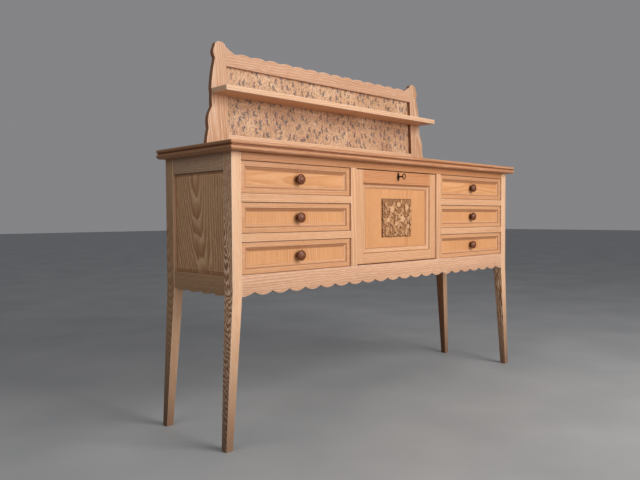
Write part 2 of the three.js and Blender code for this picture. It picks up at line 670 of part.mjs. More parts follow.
// ---- slotted stay -------------------------------------------------------------------
// Pivot and stud are equally far from the hinge axis, so the bar turns half as far as the flap.
const pivotAngle = Math.asin(STAY_PIVOT_BACK / STAY_RADIUS);
const studAngle = pivotAngle + THREE.MathUtils.degToRad(STAY_LAG_DEG);
const pivotY = HINGE_Y + STAY_RADIUS * Math.sin(pivotAngle);
const pivotZ = HINGE_Z + STAY_RADIUS * Math.cos(pivotAngle);
const studY = HINGE_Y + STAY_RADIUS * Math.sin(studAngle);
const studZ = HINGE_Z + STAY_RADIUS * Math.cos(studAngle);
const chord = (degrees) => 2 * STAY_RADIUS * Math.sin(THREE.MathUtils.degToRad(degrees) / 2);
const slotStart = chord(STAY_LAG_DEG) - STAY_STUD_RADIUS - STAY_RUNNING;
const slotEnd = chord(STAY_LAG_DEG + STAY_SWING_DEG) + STAY_STUD_RADIUS + STAY_RUNNING;
const barEnd = slotEnd + STAY_BAR_TIP;
const barX1 = STAY_BAR_X + STAY_BAR_THICKNESS;
const slotHalf = STAY_STUD_RADIUS + STAY_RUNNING;
const barHalf = STAY_BAR_HEIGHT / 2;
const barStart = -STAY_BAR_BEHIND_RIVET;
const earInner = STAY_BAR_X - GAP - STAY_EAR;
const earOuter = STAY_BAR_X - GAP;

const bar = joined(
  cut(
    prismAlongX([
      [barStart, -barHalf + STAY_CHAMFER_FLAP], [barStart + STAY_CHAMFER_FLAP, -barHalf],
      [barEnd - STAY_CHAMFER_TIP, -barHalf], [barEnd, -barHalf + STAY_CHAMFER_TIP],
      [barEnd, barHalf - STAY_CHAMFER_TIP], [barEnd - STAY_CHAMFER_TIP, barHalf],
      [barStart + STAY_CHAMFER_FLAP, barHalf], [barStart, barHalf - STAY_CHAMFER_FLAP],
    ], STAY_BAR_X, barX1),
    boxGeometry(STAY_BAR_X - 1, barX1 + 1, slotStart, slotEnd, -slotHalf, slotHalf),
  ),
  rodAlongX(STAY_RIVET_RADIUS, earInner - 1, barX1, 0, 0),
  rodAlongX(STAY_RIVET_RADIUS + STAY_RIVET_HEAD, earInner - STAY_RIVET_HEAD, earInner - GAP, 0, 0),
);
bar.rotateX(Math.atan2(studZ - pivotZ, studY - pivotY));
bar.translate(0, pivotY, pivotZ);
addPiece('stay_bar', bar, STEEL, 1);

addPiece('stay_bracket', cut(
  joined(
    boxGeometry(earInner - STAY_PLATE_WIDTH, earOuter, caseFront, caseFront + STAY_PLATE,
      pivotZ - STAY_PLATE_HALF, pivotZ + STAY_PLATE_HALF),
    boxGeometry(earInner, earOuter, caseFront + STAY_PLATE / 2, pivotY + STAY_EAR_BEYOND,
      pivotZ - STAY_EAR_HALF, pivotZ + STAY_EAR_HALF),
  ),
  rodAlongX(STAY_RIVET_RADIUS + PIN_CLEARANCE, earInner - 1, earOuter + 1, pivotY, pivotZ),
), STEEL, 1);
addPiece('stay_stud', joined(
  rodAlongX(STAY_STUD_RADIUS, STAY_BAR_X - STAY_STUD_HEAD, bayEdge - GAP, studY, studZ),
  rodAlongX(STAY_STUD_RADIUS + STAY_STUD_LIP, STAY_BAR_X - STAY_STUD_HEAD, STAY_BAR_X - GAP,
    studY, studZ),
  rodAlongX(STAY_STUD_RADIUS + STAY_STUD_ROSE, bayEdge - STAY_ROSE_THICKNESS, bayEdge - GAP,
    studY, studZ),
), STEEL, 1);

// ---- common frame: centred in X and Y, standing on Z = 0 ----------------------------
const bounds = new THREE.Box3().setFromObject(object, true);
for (const mesh of object.children) {
  mesh.geometry.translate(
    -(bounds.min.x + bounds.max.x) / 2,
    -(bounds.min.y + bounds.max.y) / 2,
    -bounds.min.z,
  );
}

export default object;
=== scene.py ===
import math
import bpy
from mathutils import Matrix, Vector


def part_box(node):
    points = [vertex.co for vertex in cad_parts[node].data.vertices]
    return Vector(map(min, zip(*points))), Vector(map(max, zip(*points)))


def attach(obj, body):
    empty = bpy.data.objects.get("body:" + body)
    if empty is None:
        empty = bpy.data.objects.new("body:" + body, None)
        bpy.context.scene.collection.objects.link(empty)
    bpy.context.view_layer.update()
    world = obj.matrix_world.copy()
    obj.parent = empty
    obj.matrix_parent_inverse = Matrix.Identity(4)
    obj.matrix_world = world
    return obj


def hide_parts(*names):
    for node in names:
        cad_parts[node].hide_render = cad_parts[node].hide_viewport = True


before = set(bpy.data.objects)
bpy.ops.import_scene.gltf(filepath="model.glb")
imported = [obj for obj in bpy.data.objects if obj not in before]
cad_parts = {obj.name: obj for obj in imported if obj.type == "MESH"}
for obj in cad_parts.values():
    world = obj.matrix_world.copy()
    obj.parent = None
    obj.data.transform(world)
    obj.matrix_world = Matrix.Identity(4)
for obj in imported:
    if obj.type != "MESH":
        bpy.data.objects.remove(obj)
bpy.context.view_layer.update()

import zlib

import bmesh
import bpy
from mathutils import Matrix, Vector, noise

MM = 0.001
scene = bpy.context.scene
scene.view_settings.view_transform = "Standard"


# ---- The studio ---------------------------------------------------------------------
# A plain pale floor, a large soft key light from the front and right, a low window light,
# a weak fill and an even grey surround, with the camera low at the left front corner.
def linear(code):
    """A linear RGBA colour from an sRGB hex code."""
    parts = [int(code[i:i + 2], 16) / 255 for i in (1, 3, 5)]
    return tuple(c / 12.92 if c <= 0.04045 else ((c + 0.055) / 1.055) ** 2.4 for c in parts) + (1.0,)


def node(tree, kind, links=(), stops=(), out=0, **settings):
    """Adds a node and returns one of its outputs, or all of them when out is None.

    links gives the inputs, in order or by name, a value, a hex colour or another node's output.
    stops fills a ramp. Shader nodes are asked for without the start of their name."""
    made = tree.nodes.new(kind if "Node" in kind else "ShaderNode" + kind)
    for name, value in settings.items():
        setattr(made, name, value)
    for name, value in (links if isinstance(links, dict) else dict(enumerate(links))).items():
        if isinstance(value, bpy.types.NodeSocket):
            tree.links.new(value, made.inputs[name])
        else:
            made.inputs[name].default_value = linear(value) if isinstance(value, str) else value
    if stops:
        ramp = made.color_ramp
        while len(ramp.elements) < len(stops):
            ramp.elements.new(1.0)
        for element, (place, colour) in zip(ramp.elements, stops):
            element.position = place
            element.color = linear(colour) if isinstance(colour, str) else (colour, colour, colour, 1.0)
    return made.outputs if out is None else made.outputs[out]


def blank_material(name):
    """An empty material, its tree, and the place on the object that its patterns can read."""
    material = bpy.data.materials.new(name)
    material.use_nodes = True
    tree = material.node_tree
    tree.nodes.clear()
    return material, tree, node(tree, "TexCoord", out="Object")


def finish_material(tree, looks, height=None, strength=0.0, depth=0.0):
    """Ends a material with its shader's values and a relief whose depth is in millimetres."""
    if height:
        looks["Normal"] = node(tree, "Bump", {"Height": height, "Strength": strength, "Distance": depth * MM})
    node(tree, "OutputMaterial", (node(tree, "BsdfPrincipled", looks),), out=None)


camera_data = bpy.data.cameras.new("camera")
camera_data.sensor_width = 36.0
camera_data.lens = 35.61
camera = bpy.data.objects.new("camera", camera_data)
camera.location = (-1.9556, -1.7488, 0.7169)
camera.rotation_euler = (
    Matrix.Rotation(math.radians(-44.148), 3, "Z")
    @ Matrix.Rotation(math.radians(87.923), 3, "X")
    @ Matrix.Rotation(math.radians(-0.313), 3, "Z")
).to_euler()
scene.collection.objects.link(camera)
scene.camera = camera

FLOOR_HALF = 30.0
floor_mesh = bpy.data.meshes.new("studio_floor")
floor_mesh.from_pydata(
    [(x * FLOOR_HALF, y * FLOOR_HALF, 0.0) for x, y in ((-1, -1), (1, -1), (1, 1), (-1, 1))],
    [], [(0, 1, 2, 3)])
studio_floor = bpy.data.objects.new("studio_floor", floor_mesh)
scene.collection.objects.link(studio_floor)
# Smooth sealed concrete: pale, slightly cloudy, with a dull sheen.
floor_finish, tree, place = blank_material("sealed_concrete")
clouds = node(tree, "TexNoise", {"Vector": place, "Scale": 2.2, "Detail": 6.0})
tint = node(tree, "ValToRGB", (clouds,), ((0.3, "#979A9D"), (0.7, "#A6A8AA")))
finish_material(tree, {"Base Color": tint, "Roughness": 0.6})
floor_mesh.materials.append(floor_finish)

LIT_MIDDLE = Vector((0.0, 0.0, 0.75))
for name, place, size, power in (
        ("key", (0.5, -3.2, 2.25), 2.0, 105.0), ("window", (-0.3, -3.9, 0.85), 1.8, 48.0),
        ("fill", (-3.2, -0.6, 3.2), 2.4, 28.0)):
    lamp_data = bpy.data.lights.new(name, "AREA")
    lamp_data.shape = "SQUARE"
    lamp_data.size = size
    lamp_data.energy = power
    lamp_data.color = linear("#FFFAF4")[:3]
    lamp = bpy.data.objects.new(name, lamp_data)
    lamp.location = place
    lamp.rotation_euler = (LIT_MIDDLE - Vector(place)).to_track_quat("-Z", "Y").to_euler()
    scene.collection.objects.link(lamp)

surround = bpy.data.worlds.new("surround")
surround.use_nodes = True
surround.node_tree.nodes["Background"].inputs["Color"].default_value = linear("#9C9C9F")
surround.node_tree.nodes["Background"].inputs["Strength"].default_value = 0.7
scene.world = surround


# ---- Legs ---------------------------------------------------------------------------
# Four solid oak posts, square through the case and sawn to a straight taper below it that
# also splays outwards. The rails are tenoned into them; the oak is brushed and limed.
def limed_oak(name, pale, brown, lime, ring=6.0, figure=0.5, liming=0.5, wander=45.0, ripple=1.4,
              plank=0.0, rough=0.5):
    """Oak whose open grain was brushed out and filled with white paste, then waxed.

    It reads the board's own coordinates: x along the grain, y and z from the log's heart.
    Rings and pores are drawn two to four times as coarse as real ones, so that they show."""
    material, tree, place = blank_material(name)
    grain = node(tree, "Attribute", out="Vector", attribute_name="grain")
    if plank:
        # A glued-up board: each plank comes from its own part of the log, up to 9 m away.
        split = node(tree, "SeparateXYZ", (grain,), out=None)
        across = node(tree, "Math", (split["Y"], plank * MM), operation="DIVIDE")
        number = node(tree, "Math", (across,), operation="FLOOR")
        chance = node(tree, "TexWhiteNoise", {"W": number}, out="Value", noise_dimensions="1D")
        along = node(tree, "Math", (chance, 9.0, split["X"]), operation="MULTIPLY_ADD")
        start = node(tree, "Math", (number, plank * MM), operation="MULTIPLY")
        inside = node(tree, "Math", (split["Y"], start), operation="SUBTRACT")
        grain = node(tree, "CombineXYZ", (along, inside, split["Z"]))
        # The glue line is 0.7 mm wide.
        joint = node(tree, "Math", (across,), operation="FRACT")
        joint = node(tree, "Math", (joint, 1.0 - 0.7 / plank), operation="GREATER_THAN")

    def stretched(scale, detail, out="Fac"):
        """Noise drawn out along the grain; scale is one over its length and width in metres."""
        spread = node(tree, "VectorMath", (grain, scale), operation="MULTIPLY")
        fibres = {"Vector": spread, "Scale": 1.0, "Detail": detail, "Roughness": 0.55}
        return node(tree, "TexNoise", fibres, out=out)

    # The log wanders and ripples, so the rings bend into arches and waves along the board.
    log = grain
    for scale, reach in (((1.5, 7.0, 7.0), wander * MM), ((14.0, 60.0, 60.0), ripple * MM)):
        bend = stretched(scale, 2.0, "Color")
        bend = node(tree, "VectorMath", (bend, (0.5, 0.5, 0.5)), operation="SUBTRACT")
        log = node(tree, "VectorMath", (bend, (0.0, reach, reach), log), operation="MULTIPLY_ADD")
    # A wave scale of 0.314 gives rings one unit apart.
    rings = node(tree, "TexWave", {"Vector": log, "Scale": 0.314 / (ring * MM)}, out="Fac",
                 wave_type="RINGS", rings_direction="X", wave_profile="SAW")
    early = node(tree, "ValToRGB", (rings,), ((0.0, 0.6), (0.08, 1.0), (0.3, 0.75), (0.5, 0.05), (1.0, 0.0)))
    late = node(tree, "ValToRGB", (rings,), ((0.0, 0.5), (0.1, 0.0), (0.45, 0.25), (0.9, 1.0), (1.0, 0.5)))
    # Darker and lighter streaks about 5 mm wide, and broad changes of tone over 100 mm.
    streaks = node(tree, "ValToRGB", (stretched((4.0, 170.0, 170.0), 3.0),), ((0.35, 0.0), (0.65, 1.0)))
    broad = node(tree, "ValToRGB", (stretched((1.2, 12.0, 12.0), 2.0),), ((0.3, 0.0), (0.7, 1.0)))
    # Open pores, here 1.5 mm wide and 30 mm long.
    pores = node(tree, "ValToRGB", (stretched((34.0, 650.0, 650.0), 1.0),), ((0.48, 0.0), (0.6, 1.0)))

    depth = node(tree, "Math", (late, figure), operation="MULTIPLY")
    depth = node(tree, "Math", (streaks, 0.32, depth), operation="MULTIPLY_ADD")
    depth = node(tree, "Math", (broad, 0.3, depth), operation="MULTIPLY_ADD", use_clamp=True)
    # The paste fills the early wood's pores, and a few of the others.
    filled = node(tree, "Math", (pores, 0.65, 0.35), operation="MULTIPLY_ADD")
    filled = node(tree, "Math", (filled, early), operation="MULTIPLY")
    paste = node(tree, "Math", (pores, 0.18, filled), operation="MULTIPLY_ADD")
    paste = node(tree, "Math", (paste, liming), operation="MULTIPLY", use_clamp=True)
    # Positive wear is an arris rubbed pale, unevenly, and on the side panels' field edges a painted
    # highlight; negative wear is dark wax left in a groove, and on many faces painted shade.
    wear_and_shade = node(tree, "Attribute", out="Fac", attribute_name="wear_and_shade")
    patchy = node(tree, "TexNoise", {"Vector": grain, "Scale": 40.0, "Detail": 2.0})
    rubbed_and_highlit = node(tree, "Math", (patchy, wear_and_shade), operation="MULTIPLY", use_clamp=True)
    wax_and_shade = node(tree, "Math", (wear_and_shade, -0.85), operation="MULTIPLY", use_clamp=True)
    # Painted shade: the legs darken towards the floor, where the light falls off, fading out towards the
    # case.
    height = node(tree, "SeparateXYZ", (place,), out="Z")
    foot_shade = node(tree, "MapRange", {
        "Value": height, "From Min": 0.02, "From Max": 0.42, "To Min": 0.7, "To Max": 0.0})
    coats = [(depth, brown), (paste, lime), (rubbed_and_highlit, lime), (wax_and_shade, "#7A421B")]
    coats += [(joint, "#6B4A30")] if plank else []
    colour = pale
    for share, over in coats + [(foot_shade, "#4A2C1C")]:
        colour = node(tree, "Mix", {0: share, 6: colour, 7: over}, out=2, data_type="RGBA")
    dull = node(tree, "MapRange", {"Value": paste, "To Min": rough, "To Max": rough + 0.22})
    sunk = node(tree, "Math", (paste, -1.0), operation="MULTIPLY")
    finish_material(tree, {"Base Color": colour, "Roughness": dull, "IOR": 1.5, "Specular IOR Level": 0.35},
                    sunk, 0.35, 0.4)
    return material


def cad(name):
    """A CAD node's box in millimetres: x0, x1, y0, y1, z0, z1."""
    low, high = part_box(name)
    return tuple(v / MM for pair in zip(low, high) for v in pair)


def loft(rings, closed=False):
    """A skin from ring to ring of equal counts. Its ends are capped, or joined when closed."""
    solid = bmesh.new()
    rows = [[solid.verts.new(Vector(point) * MM) for point in ring] for ring in rings]
    if closed:
        rows.append(rows[0])
    else:
        solid.faces.new(rows[0][::-1])
        solid.faces.new(rows[-1])
    for lower, upper in zip(rows, rows[1:]):
        for i in range(len(lower)):
            j = (i + 1) % len(lower)
            solid.faces.new((lower[i], lower[j], upper[j], upper[i]))
    return solid


def level(x0, x1, y0, y1, z):
    """A rectangle at one height."""
    return [(x0, y0, z), (x1, y0, z), (x1, y1, z), (x0, y1, z)]


def ease(solid, width, segments=2, sharper=30.0):
    """Rounds the arrises a little, as a plane and long handling do, and marks them as worn."""
    bmesh.ops.remove_doubles(solid, verts=solid.verts, dist=1e-6)
    bmesh.ops.recalc_face_normals(solid, faces=solid.faces)
    wear_and_shade = solid.faces.layers.float.get("wear_and_shade") or solid.faces.layers.float.new("wear_and_shade")
    sharp = [edge for edge in solid.edges
             if len(edge.link_faces) == 2 and edge.calc_face_angle() > math.radians(sharper)]
    made = bmesh.ops.bevel(solid, geom=sharp, offset=width * MM, offset_type="OFFSET", segments=segments,
                           profile=0.5, affect="EDGES", clamp_overlap=True)
    for face in made["faces"]:
        face[wear_and_shade] = 1.0
    return solid


def wear_in(solid, amount):
    """Sets the wear and painted shade of each face from the face and its middle, or leaves it where that
    gives None.
    """
    wear_and_shade = solid.faces.layers.float.get("wear_and_shade") or solid.faces.layers.float.new("wear_and_shade")
    for face in solid.faces:
        new = amount(face, face.calc_center_median() / MM)
        face[wear_and_shade] = face[wear_and_shade] if new is None else new
    return solid


def sawn(box, along, heart, lean=0.012):
    """How a board lies in its log: the grain's axis and the heart's distance from the board.

    heart is in millimetres along the other two axes, in cyclic order."""
    middle = Vector((box[0] + box[1], box[2] + box[3], box[4] + box[5])) / 2
    order = {"x": (0, 1, 2), "y": (1, 2, 0), "z": (2, 0, 1)}[along]
    seed = zlib.crc32(repr((along, [round(v) for v in box])).encode()) % 997
    return order, middle, heart, lean, seed * 0.37


def settle(name, solid, finishes, grain, body="cabinet", sharp=25.0, finish_of=None,
           stands_for=None):
    """Turns a solid into a finished piece: finish, grain coordinates, body and the CAD nodes it hides.

    It stands for the CAD node of its own name, unless stands_for says otherwise."""
    mesh = bpy.data.meshes.new(name)
    solid.to_mesh(mesh)
    solid.free()
    for finish in finishes if isinstance(finishes, list) else [finishes]:
        mesh.materials.append(finish)
    for face in mesh.polygons:
        face.use_smooth = True
        face.material_index = int(finish_of(face)) if finish_of else 0
    mesh.set_sharp_from_angle(angle=math.radians(sharp))
    coordinates = mesh.attributes.new("grain", "FLOAT_VECTOR", "CORNER")
    for face in mesh.polygons:
        order, middle, heart, lean, shift = grain(face) if callable(grain) else grain
        for corner in face.loop_indices:
            place = mesh.vertices[mesh.loops[corner].vertex_index].co / MM - middle
            along = place[order[0]]
            coordinates.data[corner].vector = (
                along * MM + shift,
                (place[order[1]] - heart[0] + lean * along) * MM,
                (place[order[2]] - heart[1] - lean * along) * MM)
    piece = bpy.data.objects.new(name, mesh)
    scene.collection.objects.link(piece)
    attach(piece, body)
    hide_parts(*([name] if stands_for is None else stands_for))
    return piece


oak = limed_oak("limed_oak_frame", "#D6A47C", "#B27D52", "#E7CAB3", ring=5.5, figure=0.4, liming=0.4,
                wander=22.0)
quartered_oak = limed_oak("limed_oak_quartered", "#DCB28D", "#BE8C64", "#ECD6C3", ring=4.5, figure=0.3,
                          liming=0.4, wander=25.0)
figured_oak = limed_oak("limed_oak_flat_sawn", "#E6B080", "#835031", "#F8DEBE", ring=3.0, figure=0.95,
                        liming=0.95, wander=22.0, ripple=9.0)
# A darker copy of the oak, painted shade for faces turned away from the light: the rear legs' sides, the side
# aprons, the worktop's ends and the gallery stiles' edges.
shaded_oak = limed_oak("limed_oak_shaded_side", "#AE8A64", "#88613F", "#BFA488", ring=4.0, figure=0.55,
                       liming=0.4, wander=14.0)

TAPER_START = 478.0
FOOT = 26.0
FOOT_SPLAY = 30.0
REAR_FOOT_INSET = 10.0
SIDE_SHADE = -0.8
for name in ("leg_front_left", "leg_front_right", "leg_rear_left", "leg_rear_right"):
    x0, x1, y0, y1, _, top = cad(name)
    outwards = 1 if x1 > 0 else -1
    post_x = (x0, x1 - FOOT_SPLAY) if outwards > 0 else (x0 + FOOT_SPLAY, x1)
    foot_x = (x1 - FOOT, x1) if outwards > 0 else (x0, x0 + FOOT)
    foot_y = (y0, y0 + FOOT) if "front" in name else (y1 - REAR_FOOT_INSET - FOOT, y1 - REAR_FOOT_INSET)
    leg = loft([level(*foot_x, *foot_y, 0.0)] + [level(*post_x, y0, y1, z) for z in (TAPER_START, top)])
    leg = ease(leg, 1.6)
    if "rear" in name:
        # Painted shade darkens the rear legs' inner sides.
        wear_in(leg, lambda face, middle: SIDE_SHADE if face.normal.x * outwards < -0.7 else None)
    # The heart lies behind the outer side, so that side is flat sawn and the front is quartered.
    post = (*post_x, y0, y1, 0, top)
    quartered = sawn(post, "z", (-outwards * 55.0, 6.0), lean=0.01)
    flat_sawn = sawn(post, "z", (-outwards * 48.0, 2.0), lean=0.1)
    # The rear legs' sides take the shaded copy of the oak: painted shade.
    settle(name, leg, [quartered_oak, figured_oak if "front" in name else shaded_oak],
           lambda face: flat_sawn if abs(face.normal.x) > 0.7 else quartered,
           finish_of=lambda face: abs(face.normal.x) > 0.7)


# ---- Side frames --------------------------------------------------------------------
# On each side a top rail and a lobed lower rail are tenoned between the posts, and hold a
# thin flat-sawn panel in a groove. The lobes were bandsawn in one even rhythm.
def open_tree(name, sizes):
    """A Geometry Nodes tree with named inputs for its sizes and its finish, and those inputs."""
    tree = bpy.data.node_groups.new(name, "GeometryNodeTree")
    for label, size in sizes.items():
        kind = {int: "Int", float: "Float", tuple: "Vector"}[type(size)]
        tree.interface.new_socket(label, in_out="INPUT", socket_type="NodeSocket" + kind).default_value = size
    tree.interface.new_socket("Finish", in_out="INPUT", socket_type="NodeSocketMaterial")
    tree.interface.new_socket("Shape", in_out="OUTPUT", socket_type="NodeSocketGeometry")
    return tree, node(tree, "NodeGroupInput", out=None)


def close_tree(tree, shape, finish):
    """Ends a tree: the shape is made real and takes its finish."""
    real = node(tree, "GeometryNodeRealizeInstances", (shape,))
    done = node(tree, "GeometryNodeSetMaterial", {"Geometry": real, "Material": finish})
    node(tree, "NodeGroupOutput", {"Shape": done}, out=None)
    return tree


def lobed_rail_tree():
    """A rail with a row of round lobes along one edge and pointed notches between them.

    Beyond the lobes the edge runs out in a shoulder. Lengths are in metres, along X."""
    tree, given = open_tree("lobed_rail", {
        "Half length": 0.5, "Lobed half": 0.5, "Lobe pitch": 0.072, "Lobe depth": 0.01, "Shoulder": 0.0,
        "Lobed edge": 0.0, "Straight edge": 0.06, "Outwards": 1.0, "Thickness": 0.02})
    steps_a_lobe = 12.0
    length, pitch = given["Half length"], given["Lobe pitch"]
    # A strip of points, twelve to a lobe, whose last one on each side is drawn in to the rail's end.
    step = node(tree, "Math", (pitch, steps_a_lobe), operation="DIVIDE")
    count = node(tree, "Math", (length, step), operation="DIVIDE")
    count = node(tree, "Math", (count,), operation="CEIL")
    points = node(tree, "Math", (count, 2.0, 1.0), operation="MULTIPLY_ADD")
    strip = node(tree, "GeometryNodeMeshGrid", {
        "Size X": 1.0, "Size Y": 1.0, "Vertices X": points, "Vertices Y": 2})
    place = node(tree, "SeparateXYZ", (node(tree, "GeometryNodeInputPosition"),), out=None)
    number = node(tree, "Math", (place["X"], 2.0), operation="MULTIPLY")
    number = node(tree, "Math", (number, count), operation="MULTIPLY")
    number = node(tree, "Math", (number,), operation="ROUND")
    x = node(tree, "Math", (number, step), operation="MULTIPLY")
    x = node(tree, "Math", (x, length), operation="MINIMUM")
    x = node(tree, "Math", (x, node(tree, "Math", (length, -1.0), operation="MULTIPLY")), operation="MAXIMUM")
    # Each lobe is a parabola between two notches.
    within = node(tree, "Math", (x, pitch), operation="DIVIDE")
    within = node(tree, "Math", (within,), operation="FRACT")
    lobe = node(tree, "Math", (within, 2.0, -1.0), operation="MULTIPLY_ADD")
    lobe = node(tree, "Math", (lobe, 2.0), operation="POWER")
    lobe = node(tree, "Math", (lobe, given["Lobe depth"]), operation="MULTIPLY")
    # The shoulder leaves the last notch steeply and flattens towards the end.
    out = node(tree, "Math", (x,), operation="ABSOLUTE")
    out = node(tree, "Math", (out, given["Lobed half"]), operation="SUBTRACT")
    run = node(tree, "Math", (length, given["Lobed half"]), operation="SUBTRACT")
    share = node(tree, "Clamp", (node(tree, "Math", (out, run), operation="DIVIDE"),))
    rest = node(tree, "Math", (1.0, share), operation="SUBTRACT")
    rest = node(tree, "Math", (rest, 2.0), operation="POWER")
    rest = node(tree, "Math", (rest, given["Lobe depth"]), operation="MULTIPLY")
    fall = node(tree, "Math", (share, 2.0), operation="POWER")
    fall = node(tree, "Math", (fall, given["Shoulder"]), operation="MULTIPLY")
    shoulder = node(tree, "Math", (rest, fall), operation="SUBTRACT")
    beyond = node(tree, "Math", (out, 1e-5), operation="GREATER_THAN")
    edge = node(tree, "Mix", {0: beyond, 2: lobe, 3: shoulder})
    lobed = node(tree, "Math", (edge, given["Outwards"], given["Lobed edge"]), operation="MULTIPLY_ADD")
    far = node(tree, "Math", (place["Y"], 0.0), operation="GREATER_THAN")
    z = node(tree, "Mix", {0: far, 2: lobed, 3: given["Straight edge"]})
    shaped = node(tree, "GeometryNodeSetPosition", {
        "Geometry": strip, "Position": node(tree, "CombineXYZ", {"X": x, "Z": z})})
    # The strip is the front face. It is thickened backwards and closed with a back face.
    face = node(tree, "GeometryNodeMergeByDistance", {"Geometry": shaped, "Distance": 1e-5})
    offset = node(tree, "CombineXYZ", {"Y": given["Thickness"]})
    thick = node(tree, "GeometryNodeExtrudeMesh", {"Mesh": face, "Offset": offset, "Individual": False})
    back = node(tree, "GeometryNodeFlipFaces", {"Mesh": face})
    both = node(tree, "GeometryNodeJoinGeometry", (thick,))
    tree.links.new(back, both.node.inputs[0])
    whole = node(tree, "GeometryNodeMergeByDistance", {"Geometry": both, "Distance": 1e-5})
    return close_tree(tree, whole, given["Finish"])


def grown(tree, values):
    """The plain mesh that a Geometry Nodes tree gives for these inputs."""
    holder = bpy.data.objects.new(tree.name, bpy.data.meshes.new(tree.name))
    scene.collection.objects.link(holder)
    modifier = holder.modifiers.new("shape", "NODES")
    modifier.node_group = tree
    for item in tree.interface.items_tree:
        if item.in_out == "INPUT" and item.name in values:
            modifier[item.identifier] = values[item.name]
    evaluated = holder.evaluated_get(bpy.context.evaluated_depsgraph_get())
    mesh = bpy.data.meshes.new_from_object(evaluated)
    holder.modifiers.remove(modifier)
    bpy.data.objects.remove(holder)
    solid = bmesh.new()
    solid.from_mesh(mesh)
    bpy.data.meshes.remove(mesh)
    return solid


def board(box):
    """A plain board that fills a box."""
    return loft([level(*box[:4], z) for z in box[4:]])


lobed_rail = lobed_rail_tree()
panel_oak = limed_oak("limed_oak_side_panel", "#CA9B6F", "#946540", "#E2C6A2", ring=10.0, figure=0.55,
                      liming=0.55, wander=50.0, ripple=7.0)
side_rail_oak = limed_oak("limed_oak_side_rail", "#BE9C7A", "#94715A", "#D0BAA0", ring=5.0, figure=0.5,
                          liming=0.45, wander=25.0, ripple=4.0)
LOBE_DEPTH = 11.5
SIDE_LOBES = 4
PANEL_MARGIN = 11.0
PANEL_FIELD = PANEL_MARGIN + 2.0
for side, outwards in (("left", -1), ("right", 1)):
    name = "side_top_rail_" + side
    box = cad(name)
    settle(name, ease(board(box), 1.4), side_rail_oak, sawn(box, "y", (70.0, -outwards * 14.0)))

    # The panel is thinned to a fielded margin all round, and its middle stands just proud.
    name = "side_panel_" + side
    box = cad(name)
    x0, x1, y0, y1, z0, z1 = box
    face_x, back_x = (x0, x1) if outwards < 0 else (x1, x0)
    panel = loft([
        [(x, y0 + e, z0 + e), (x, y1 - e, z0 + e), (x, y1 - e, z1 - e), (x, y0 + e, z1 - e)]
        for x, e in ((back_x, 0.0), (face_x - outwards * 3.2, 0.0), (face_x - outwards * 1.6, PANEL_MARGIN),
                     (face_x - outwards * 0.2, PANEL_MARGIN + 0.8), (face_x, PANEL_FIELD))])

    def on_panel(face, c):
        """Painted shade on the bevel, and a painted highlight on the field's edge."""
        rim = min(c.y - y0, y1 - c.y, c.z - z0, z1 - c.z)
        if face.normal.x * outwards <= 0.5 or rim >= PANEL_FIELD:
            return None
        return 0.7 if rim > PANEL_MARGIN - 0.5 else -0.3

    settle(name, wear_in(ease(panel, 0.4, 1, 60.0), on_panel), panel_oak,
           sawn(box, "z", (-outwards * 58.0, 8.0), lean=0.12))

    name = "side_apron_" + side
    box = cad(name)
    x0, x1, y0, y1, z0, z1 = box
    half = (y1 - y0) / 2
    # The aprons take the shaded copy of the oak: painted shade.
    apron = grown(lobed_rail, {
        "Half length": half * MM, "Lobed half": half * MM, "Lobe pitch": 2 * half / SIDE_LOBES * MM,
        "Lobe depth": LOBE_DEPTH * MM, "Lobed edge": z0 * MM, "Straight edge": z1 * MM,
        "Thickness": (x1 - x0) * MM, "Finish": shaded_oak})
    bmesh.ops.transform(apron, verts=apron.verts, matrix=Matrix.Translation(
        Vector((x1, (y0 + y1) / 2, 0.0)) * MM) @ Matrix.Rotation(math.pi / 2, 4, "Z"))
    settle(name, ease(apron, 1.0), shaded_oak, sawn(box, "y", (80.0, -outwards * 12.0)))


# ---- Front frame --------------------------------------------------------------------
# A top rail, a long lobed apron and two partitions make the three bays. Below the outer
# drawers the apron runs out to the legs in small brackets.
# A browner copy of the oak: painted shadow of the worktop's overhang, on the front top rail and the flap's
# top rail.
overhang_shaded_oak = limed_oak("limed_oak_overhang_shade", "#C6895C", "#A0663D", "#D6AA83", ring=5.5, figure=0.4, liming=0.35,
                      wander=22.0)
apron_oak = limed_oak("limed_oak_apron", "#CFA280", "#AD7B5B", "#E3CFBF", ring=8.0, figure=0.35, liming=0.4,
                      wander=50.0, ripple=8.0)
LONG_PITCH = 72.1
APRON_LOBES = 20
SHOULDER = 1.0
box = cad("front_top_rail")
# The top rail takes the copy with the painted shadow of the worktop's overhang.
settle("front_top_rail", ease(board(box), 1.2), overhang_shaded_oak, sawn(box, "x", (14.0, 70.0)))

box = cad("front_apron")
x0, x1, y0, y1, z0, z1 = box
apron = grown(lobed_rail, {
    "Half length": x1 * MM, "Lobed half": APRON_LOBES / 2 * LONG_PITCH * MM, "Lobe pitch": LONG_PITCH * MM,
    "Lobe depth": LOBE_DEPTH * MM, "Shoulder": SHOULDER * MM, "Lobed edge": (z0 + SHOULDER) * MM,
    "Straight edge": z1 * MM, "Thickness": (y1 - y0) * MM, "Finish": apron_oak})
bmesh.ops.translate(apron, verts=apron.verts, vec=(0.0, y0 * MM, 0.0))
settle("front_apron", ease(apron, 1.0), apron_oak, sawn(box, "x", (18.0, -84.0), lean=0.006))

for name, outwards in (("partition_left", -1), ("partition_right", 1)):
    box = cad(name)
    settle(name, ease(board(box), 1.4), oak, sawn(box, "z", (outwards * 70.0, 14.0)))


